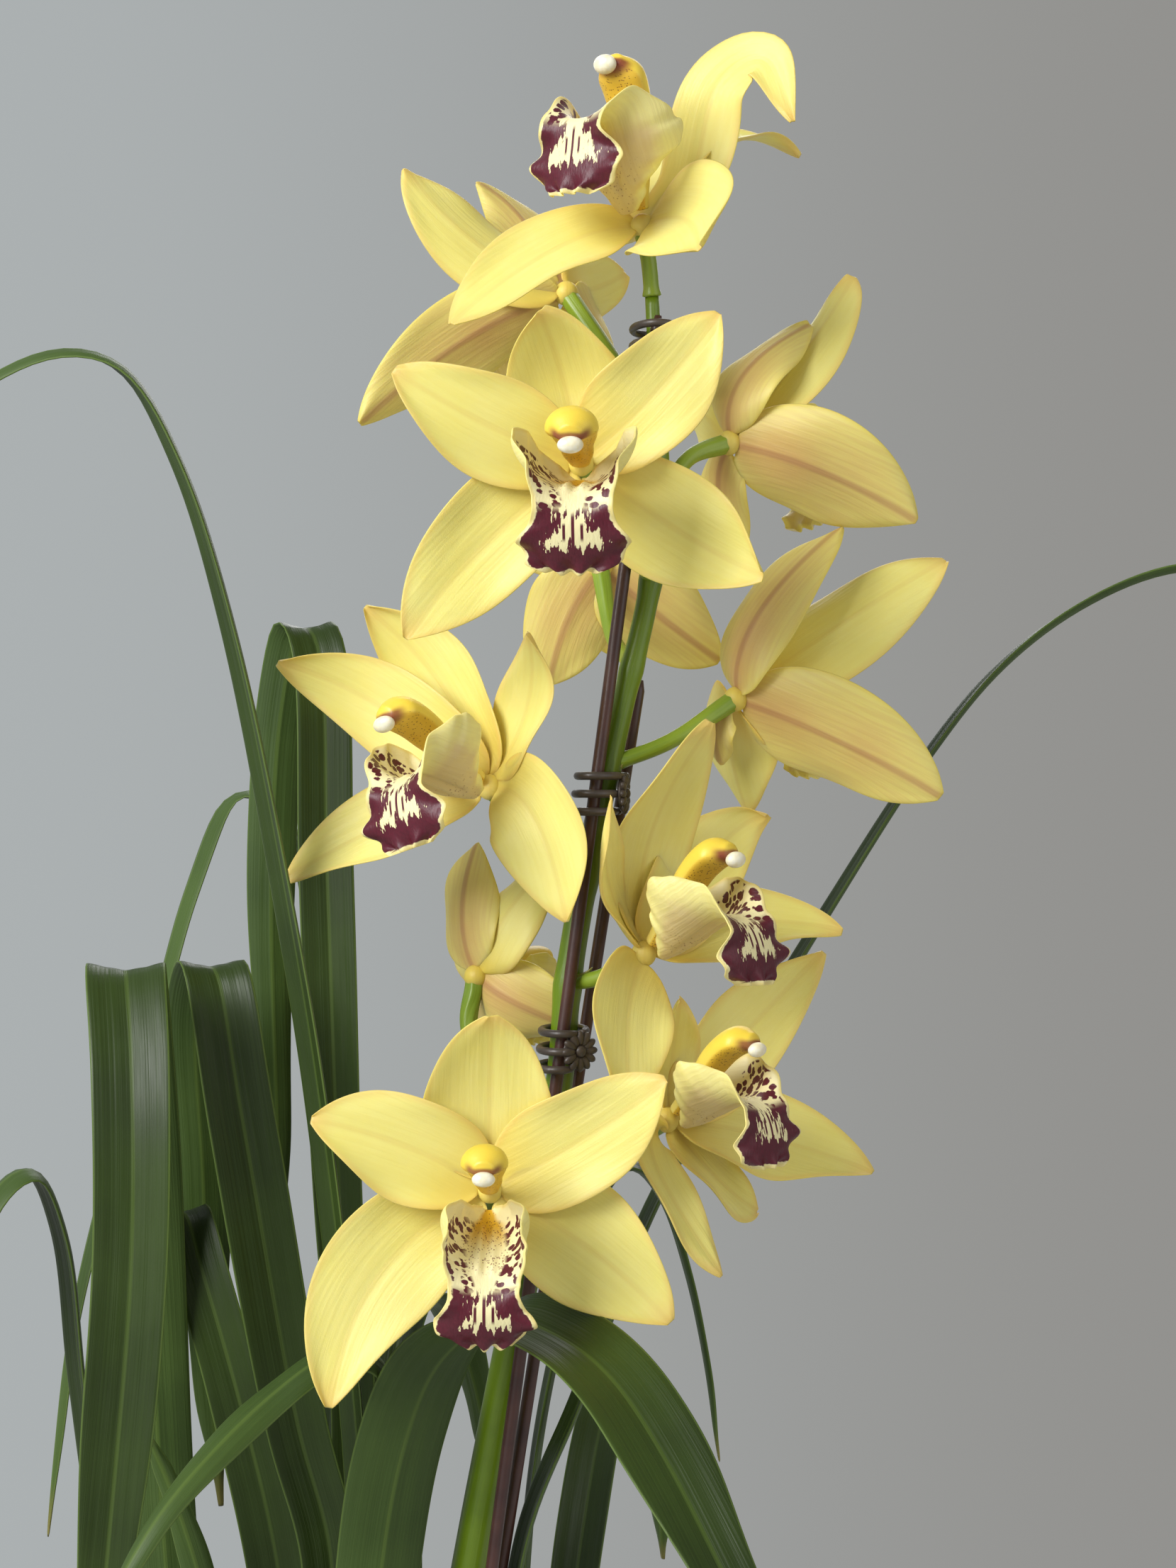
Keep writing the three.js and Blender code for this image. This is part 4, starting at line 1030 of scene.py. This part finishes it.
def build_column(number, hub, axes, scale):
    """An arched column with a hooded front, nearly flat underneath, and a pale anther cap."""
    forward, up, right = axes

    def section(x, y, share):
        wings = 1 + 0.22 * smooth_step(share, 0.35, 0.88) * (1 - smooth_step(share, 0.93, 1))
        return x * wings, y * (0.55 if y < 0 else 1.0)

    bm = new_mesh()
    route = floral_route(hub, axes, scale, COLUMN_AXIS)
    add_rod(bm, route, lambda share: column_radius(share) * scale * MM, 32, 36, 0, right, section)
    seat = route.place(0.97) + (forward * 0.9 - up * 2.6) * (scale * MM)
    turn = Matrix((right, forward, up)).transposed()
    add_ball(bm, seat, tuple(radius * scale * MM for radius in (3.7, 2.7, 2.4)), turn, 1, 12)
    name = f"flower_{number:02d}_column"
    finish_piece(bm, name + "_arch", [name], [column_skin, anther_cap], rounding=1)


def flower_axes(column, up_hint):
    """Forward along the column, up towards the dorsal sepal, and right."""
    forward = Vector(column).normalized()
    up_hint = Vector(up_hint)
    up = (up_hint - forward * up_hint.dot(forward)).normalized()
    return forward, up, up.cross(forward)


for flower_number, flower in enumerate(FLOWERS, 1):
    flower_hub = vec(flower["hub"])
    flower_frame = flower_axes(flower["column"], flower["up"])
    build_perianth(flower_number, flower_hub, flower_frame[0], flower)
    build_lip(flower_number, flower_hub, flower_frame, flower["scale"], flower["lip"])
    build_column(flower_number, flower_hub, flower_frame, flower["scale"])


def add_bract(bm, height, toward):
    """A small dry scale that clasps the spike under a pedicel."""
    share = spike_share(height)
    foot, direction, side, outward = spike_route.axes(share, toward)
    radius = spike_radius(share) * MM
    base = foot + side * (radius * 0.8) - direction * (2 * MM)
    via = base + side * (2.2 * MM) + direction * (3.5 * MM)
    tip = base + side * (5.5 * MM) + direction * (8 * MM)
    outline = keyed((0, 1), (0.4, 0.85), (1, 0.08))
    add_blade(bm, arc_through(base, via, tip), lambda _: outward,
              lambda along: 3.4 * MM * outline(along), lambda _: 0.9, 0.7 * MM, 6, 8,
              lambda *_: 0.0, (1, 1))


def build_spike():
    joints = [flower["leaves"] for flower in FLOWERS if flower["leaves"]]

    def radius_at(share):
        height = spike_route.place(share).z / MM
        swelling = sum(0.5 * math.exp(-((height - joint + 1) / 4.5) ** 2) for joint in joints)
        return (spike_radius(share) + swelling) * MM

    bm = new_mesh()
    add_rod(bm, spike_route, radius_at, 32, 220)
    for flower in FLOWERS:
        if flower["leaves"]:
            away = vec(flower["by"][0]) - spike_route.place(spike_share(flower["leaves"]))
            add_bract(bm, flower["leaves"], away.normalized())
    finish_piece(bm, "spike_stem", ["flower_spike"], [spike_skin, bract_skin])


build_spike()


# ---- pseudobulbs and leaves ---------------------------------------------------------------------

BULBS = {
    "pseudobulb_left": (-36, 6),
    "pseudobulb_back": (-4, 40),
    "pseudobulb_front": (0, -38),
    "pseudobulb_right": (38, 18),
}
bulb_outline = keyed((0, 0.8), (0.35, 1), (0.8, 0.62), (1, 0.3))


def build_bulb(name, x, y):
    """A ribbed pseudobulb wrapped in sheaths, each ending in a small step."""
    base = MIX_LEVEL + CLEARANCE
    axis = Route([vec((x, y, base)), vec((x, y, base + BULB_HEIGHT))])
    overlaps = (0.2, 0.38, 0.56, 0.72)

    def radius_at(share):
        layers = sum(0.7 * (1 - smooth_step(share, edge, edge + 0.015)) for edge in overlaps)
        return (BULB_RADIUS * bulb_outline(share) - 2.2 + layers) * MM

    def ribbed(px, py, _):
        ribs = 1 + 0.025 * math.cos(14 * math.atan2(py, px))
        return px * ribs, py * ribs

    bm = new_mesh()
    add_rod(bm, axis, radius_at, 56, 90, section=ribbed)
    finish_piece(bm, name + "_sheathed", [name], [bulb_skin])


for bulb_name, bulb_place in BULBS.items():
    build_bulb(bulb_name, *bulb_place)

# Each leaf: its width, the direction it is wide in at its base and at its tip, and its route.
LEAVES = {
    "leaf_front_left_broad": (25, (1, 0.2, 0), (1, -0.1, 0), [
        (-44, 2, 195), (-60, 6, 300), (-70, 12, 386), (-77, 8, 520), (-78, -12, 580), (-71, -36, 552),
        (-69, -46, 495), (-75, -52, 409), (-82, -54, 330)]),
    "leaf_left_folded": (22, (-1, 0.1, 0), (-1, -0.2, 0), [
        (-33, -2, 195), (-22, -2, 300), (-16, 0, 391), (-27, 1, 435), (-45, 6, 530), (-56, 17, 578),
        (-65, 36, 560), (-65, 50, 504), (-64, 54, 446), (-60, 56, 391)]),
    "leaf_long_left": (15, (-0.8, 0.6, 0), (-0.3, 0.9, 0.3), [
        (-12, 26, 200), (-6, -4, 300), (-6, -11, 416), (-17, -15, 530), (-27, -16, 594),
        (-45, -17, 683), (-61, -18, 734), (-78, -19, 762), (-96, -20, 766), (-116, -20, 758),
        (-142, -20, 738), (-166, -18, 706)]),
    "leaf_behind_tall": (19, (-0.9, 0.5, 0), (-0.9, -0.3, 0), [
        (-10, 36, 205), (-14, 32, 300), (-12, 30, 434), (-17, 34, 490), (-22, 38, 604),
        (-25, 40, 680), (-32, 50, 690), (-40, 58, 660), (-44, 62, 600), (-42, 62, 518), (-41, 62, 470)]),
    "leaf_behind_arching": (17, (-0.5, 0.85, 0), (-0.4, 0.9, 0), [
        (-14, 44, 200), (-24, 54, 320), (-22, 62, 446), (-28, 70, 577), (-40, 76, 622),
        (-58, 78, 633), (-74, 78, 600), (-86, 74, 555), (-101, 68, 500), (-111, 60, 450),
        (-117, 54, 381)]),
    "leaf_far_left": (16, (-0.6, 0.8, 0), (-0.5, 0.85, 0.1), [
        (-46, 14, 195), (-72, 26, 300), (-93, 30, 381), (-101, 28, 440), (-106, 24, 490),
        (-114, 16, 512), (-124, 8, 504), (-131, 0, 475), (-127, -6, 435), (-118, -12, 385),
        (-114, -14, 350)]),
    "leaf_left_middle": (20, (-1, 0.3, 0), (-1, 0, 0), [
        (-30, 10, 200), (-26, 12, 300), (-35, 14, 386), (-47, 17, 435), (-61, 22, 480),
        (-68, 29, 497), (-76, 36, 484), (-82, 40, 450)]),
    "leaf_front_crossing": (14, (0.5, 0.8, 0), (-0.5, 0.7, 0.5), [
        (-6, -26, 200), (4, -18, 300), (6, -13, 400), (5, -16, 446), (-1, -26, 463), (-12, -34, 465),
        (-28, -46, 456), (-42, -64, 445), (-54, -80, 432), (-69, -96, 406)]),
    "leaf_short_young": (11, (1, 0.2, 0), (1, 0.2, 0), [
        (-42, -4, 205), (-48, -6, 300), (-53, -6, 375), (-63, -7, 412), (-73, -8, 437)]),
    "leaf_front_broad": (29, (1, 0.1, 0), (0.75, 0.5, 0.3), [
        (4, -44, 200), (-3, -34, 300), (1, -24, 395), (9, -25, 439), (20, -28, 464), (37, -35, 477),
        (56, -50, 475), (71, -70, 468), (84, -91, 454), (97, -112, 434), (108, -125, 414),
        (118, -136, 392)]),
    "leaf_back_right": (15, (-0.2, 1, 0), (0, 1, 0), [
        (34, 24, 200), (40, 34, 300), (46, 37, 405), (57, 38, 463), (69, 38, 500), (78, 38, 510),
        (88, 38, 500), (97, 36, 475), (103, 33, 448), (108, 30, 414)]),
    "leaf_long_right": (14, (-0.4, 0.9, 0), (-0.1, 0.95, -0.2), [
        (44, 14, 200), (36, 8, 290), (43, 12, 393), (61, 31, 434), (86, 56, 492), (116, 64, 542),
        (146, 62, 592), (180, 66, 644), (205, 66, 675), (232, 62, 696), (262, 56, 708),
        (292, 50, 706), (318, 44, 690)]),
    "leaf_back_low": (18, (-1, 0.4, 0), (-0.9, 0.2, 0), [
        (2, 44, 200), (2, 48, 300), (1, 46, 391), (-2, 52, 434), (4, 66, 458), (14, 84, 452),
        (24, 98, 420), (30, 104, 380)]),
    "leaf_rear_arching": (20, (-0.9, 0.4, 0), (-0.9, 0.5, 0), [
        (40, 30, 200), (52, 60, 290), (62, 92, 370), (72, 122, 410), (82, 148, 410), (90, 168, 380),
        (94, 178, 330)]),
}
leaf_outline = keyed((0, 0.45), (0.3, 0.85), (0.55, 1), (0.8, 0.9), (0.93, 0.55), (1, 0.06))
leaf_bend = keyed((0, 1.0), (0.25, 0.42), (1, 0.3))


def leaf_relief(aside, share, half):
    """A creased midrib between two flatter halves, and a pair of shallow channels."""
    crease = -1.0 * math.exp(-abs(aside) * half / (2.2 * MM))
    channel = -0.25 * math.exp(-((abs(aside) - 0.5) * half / (1.2 * MM)) ** 2)
    return (crease + channel) * MM


def build_leaf(name, width, at_base, at_tip, places):
    at_base, at_tip = Vector(at_base), Vector(at_tip)
    half = width / 2 * MM
    bm = new_mesh()
    add_blade(bm, smooth_route([vec(place) for place in places]),
              lambda share: at_base.lerp(at_tip, share).normalized(),
              lambda share: half * leaf_outline(share), leaf_bend, LEAF_THICKNESS * MM, 12, 72,
              leaf_relief, (0, 1))
    finish_piece(bm, name + "_strap", [name], [leaf_upper, leaf_under], rounding=1)


for leaf_name, (leaf_width, base_across, tip_across, leaf_places) in LEAVES.items():
    build_leaf(leaf_name, leaf_width, base_across, tip_across, leaf_places)


# ---- potting mix and pot ------------------------------------------------------------------------

def wall_radius(height):
    return POT_BASE_RADIUS + (POT_TOP_RADIUS - POT_BASE_RADIUS) * height / POT_HEIGHT


def add_chip(bm, rng, place, size):
    """One flake of bark: a squared chip knocked out of shape."""
    known = set(bm.verts)
    bearing = Matrix.Rotation(rng.uniform(0, math.pi), 4, "Z")
    tilt = Matrix.Rotation(rng.uniform(-0.6, 0.6), 4, "X")
    shape = Matrix.Diagonal((size, size * rng.uniform(0.5, 0.8), size * rng.uniform(0.2, 0.4), 1))
    bmesh.ops.create_cube(bm, size=1.0, matrix=Matrix.Translation(place) @ bearing @ tilt @ shape)
    for vert in added_since(bm.verts, known):
        vert.co += Vector([rng.uniform(-0.12, 0.12) * size for _ in range(3)])


def build_mix():
    """The mix as a drum with an uneven top, and flakes of bark strewn round the pseudobulbs."""
    bottom = POT_FLOOR + CLEARANCE
    top_radius = wall_radius(MIX_LEVEL) - POT_WALL - 2 * CLEARANCE
    rings = 22
    surface = [(top_radius * (rings - ring) / rings, MIX_LEVEL - 2) for ring in range(rings + 1)]
    bm = bmesh.new()
    bottom_radius = wall_radius(bottom) - POT_WALL - 2 * CLEARANCE
    add_lathe(bm, [(0, bottom), (bottom_radius, bottom), *surface], 72)
    for vert in bm.verts:
        if vert.co.z > (MIX_LEVEL - 3) * MM and vert.co.xy.length < (top_radius - 1) * MM:
            vert.co.z += 2.2 * MM * noise.noise(vert.co * 90)
    rng = random.Random(7)
    chips = bmesh.new()
    for _ in range(520):
        reach, bearing = (top_radius - 9) * math.sqrt(rng.random()), rng.uniform(0, 2 * math.pi)
        x, y = reach * math.cos(bearing), reach * math.sin(bearing)
        if all(math.hypot(x - bx, y - by) > BULB_RADIUS for bx, by in BULBS.values()):
            place = vec((x, y, MIX_LEVEL + rng.uniform(-1.5, 1.5)))
            add_chip(chips, rng, place, rng.uniform(7, 15) * MM)
    bmesh.ops.bevel(chips, geom=chips.edges[:], offset=0.5 * MM, segments=1, profile=0.5,
                    affect="EDGES", material=-1)
    loose = bpy.data.meshes.new("chips")
    chips.to_mesh(loose)
    chips.free()
    bm.from_mesh(loose)
    bpy.data.meshes.remove(loose)
    finish_piece(bm, "bark_mix", ["potting_mix"], [bark_skin], sharp=math.radians(35))


def build_pot():
    """A plain round pot with a stepped rim and a foot ring."""
    rim_foot = POT_HEIGHT - POT_RIM_HEIGHT
    rim_radius = POT_TOP_RADIUS + POT_RIM_STEP
    foot_inside = POT_BASE_RADIUS - POT_FOOT_WIDTH
    profile = [
        (0, POT_FOOT_RECESS),
        (foot_inside - POT_FOOT_RECESS, POT_FOOT_RECESS), (foot_inside, 0), (POT_BASE_RADIUS, 0),
        (wall_radius(rim_foot), rim_foot), (rim_radius, rim_foot + POT_RIM_STEP),
        (rim_radius, POT_HEIGHT), (POT_TOP_RADIUS - POT_WALL, POT_HEIGHT),
        (wall_radius(POT_FLOOR) - POT_WALL, POT_FLOOR), (0, POT_FLOOR),
    ]
    bm = bmesh.new()
    add_lathe(bm, profile, 128)
    corners = [edge for edge in bm.edges if len(edge.link_faces) == 2
               and edge.calc_face_angle(0) > math.radians(20)
               and abs(edge.verts[0].co.z - edge.verts[1].co.z) < 0.1 * MM]
    bmesh.ops.bevel(bm, geom=corners, offset=1.4 * MM, segments=4, profile=0.5,
                    affect="EDGES", material=-1)
    finish_piece(bm, "plain_pot", ["pot"], [pot_glaze], sharp=math.radians(40))


build_mix()
build_pot()


# ---- floor, light and camera --------------------------------------------------------------------

def build_floor():
    bm = bmesh.new()
    bmesh.ops.create_grid(bm, x_segments=1, y_segments=1, size=0.95)
    mesh = bpy.data.meshes.new("floor")
    bm.to_mesh(mesh)
    bm.free()
    mesh.materials.append(floor_material())
    floor = bpy.data.objects.new("floor", mesh)
    bpy.context.scene.collection.objects.link(floor)


def add_light(name, place, aim, size, power, tint=(1.0, 1.0, 1.0)):
    light = bpy.data.lights.new(name, "AREA")
    light.shape = "SQUARE"
    light.size = size
    light.energy = power
    light.color = tint
    lamp = bpy.data.objects.new(name, light)
    lamp.location = place
    lamp.rotation_euler = (Vector(aim) - Vector(place)).to_track_quat("-Z", "Y").to_euler()
    bpy.context.scene.collection.objects.link(lamp)


def build_world():
    world = bpy.data.worlds.new("soft_grey_room")
    world.use_nodes = True
    g = Graph(world.node_tree)
    background = world.node_tree.nodes["Background"].inputs
    way = g.add("ShaderNodeTexCoord")["Generated"]
    sideways = g.split(way)["X"]
    left, right = colour(172, 177, 178), colour(146, 145, 142)
    g.feed(background["Color"], g.blend(g.fade(sideways, -0.3, 0.3), left, right))
    background["Strength"].default_value = 1.0
    bpy.context.scene.world = world


build_floor()
build_world()
MIDDLE = (0.05, 0, 0.62)
add_light("window", (-1.0, -1.0, 1.35), MIDDLE, 0.9, 30)
add_light("room_fill", (1.3, -0.9, 0.9), MIDDLE, 1.2, 5)
add_light("from_behind", (0.2, 1.3, 1.5), MIDDLE, 0.9, 8)

camera_data = bpy.data.cameras.new("camera")
camera_data.lens = 50
camera_data.sensor_width = 36
camera = bpy.data.objects.new("camera", camera_data)
camera.location = (0.064, -0.680, 0.635)
camera.rotation_euler = (math.pi / 2, 0, 0)
bpy.context.scene.collection.objects.link(camera)
bpy.context.scene.camera = camera
bpy.context.scene.view_settings.view_transform = "Standard"
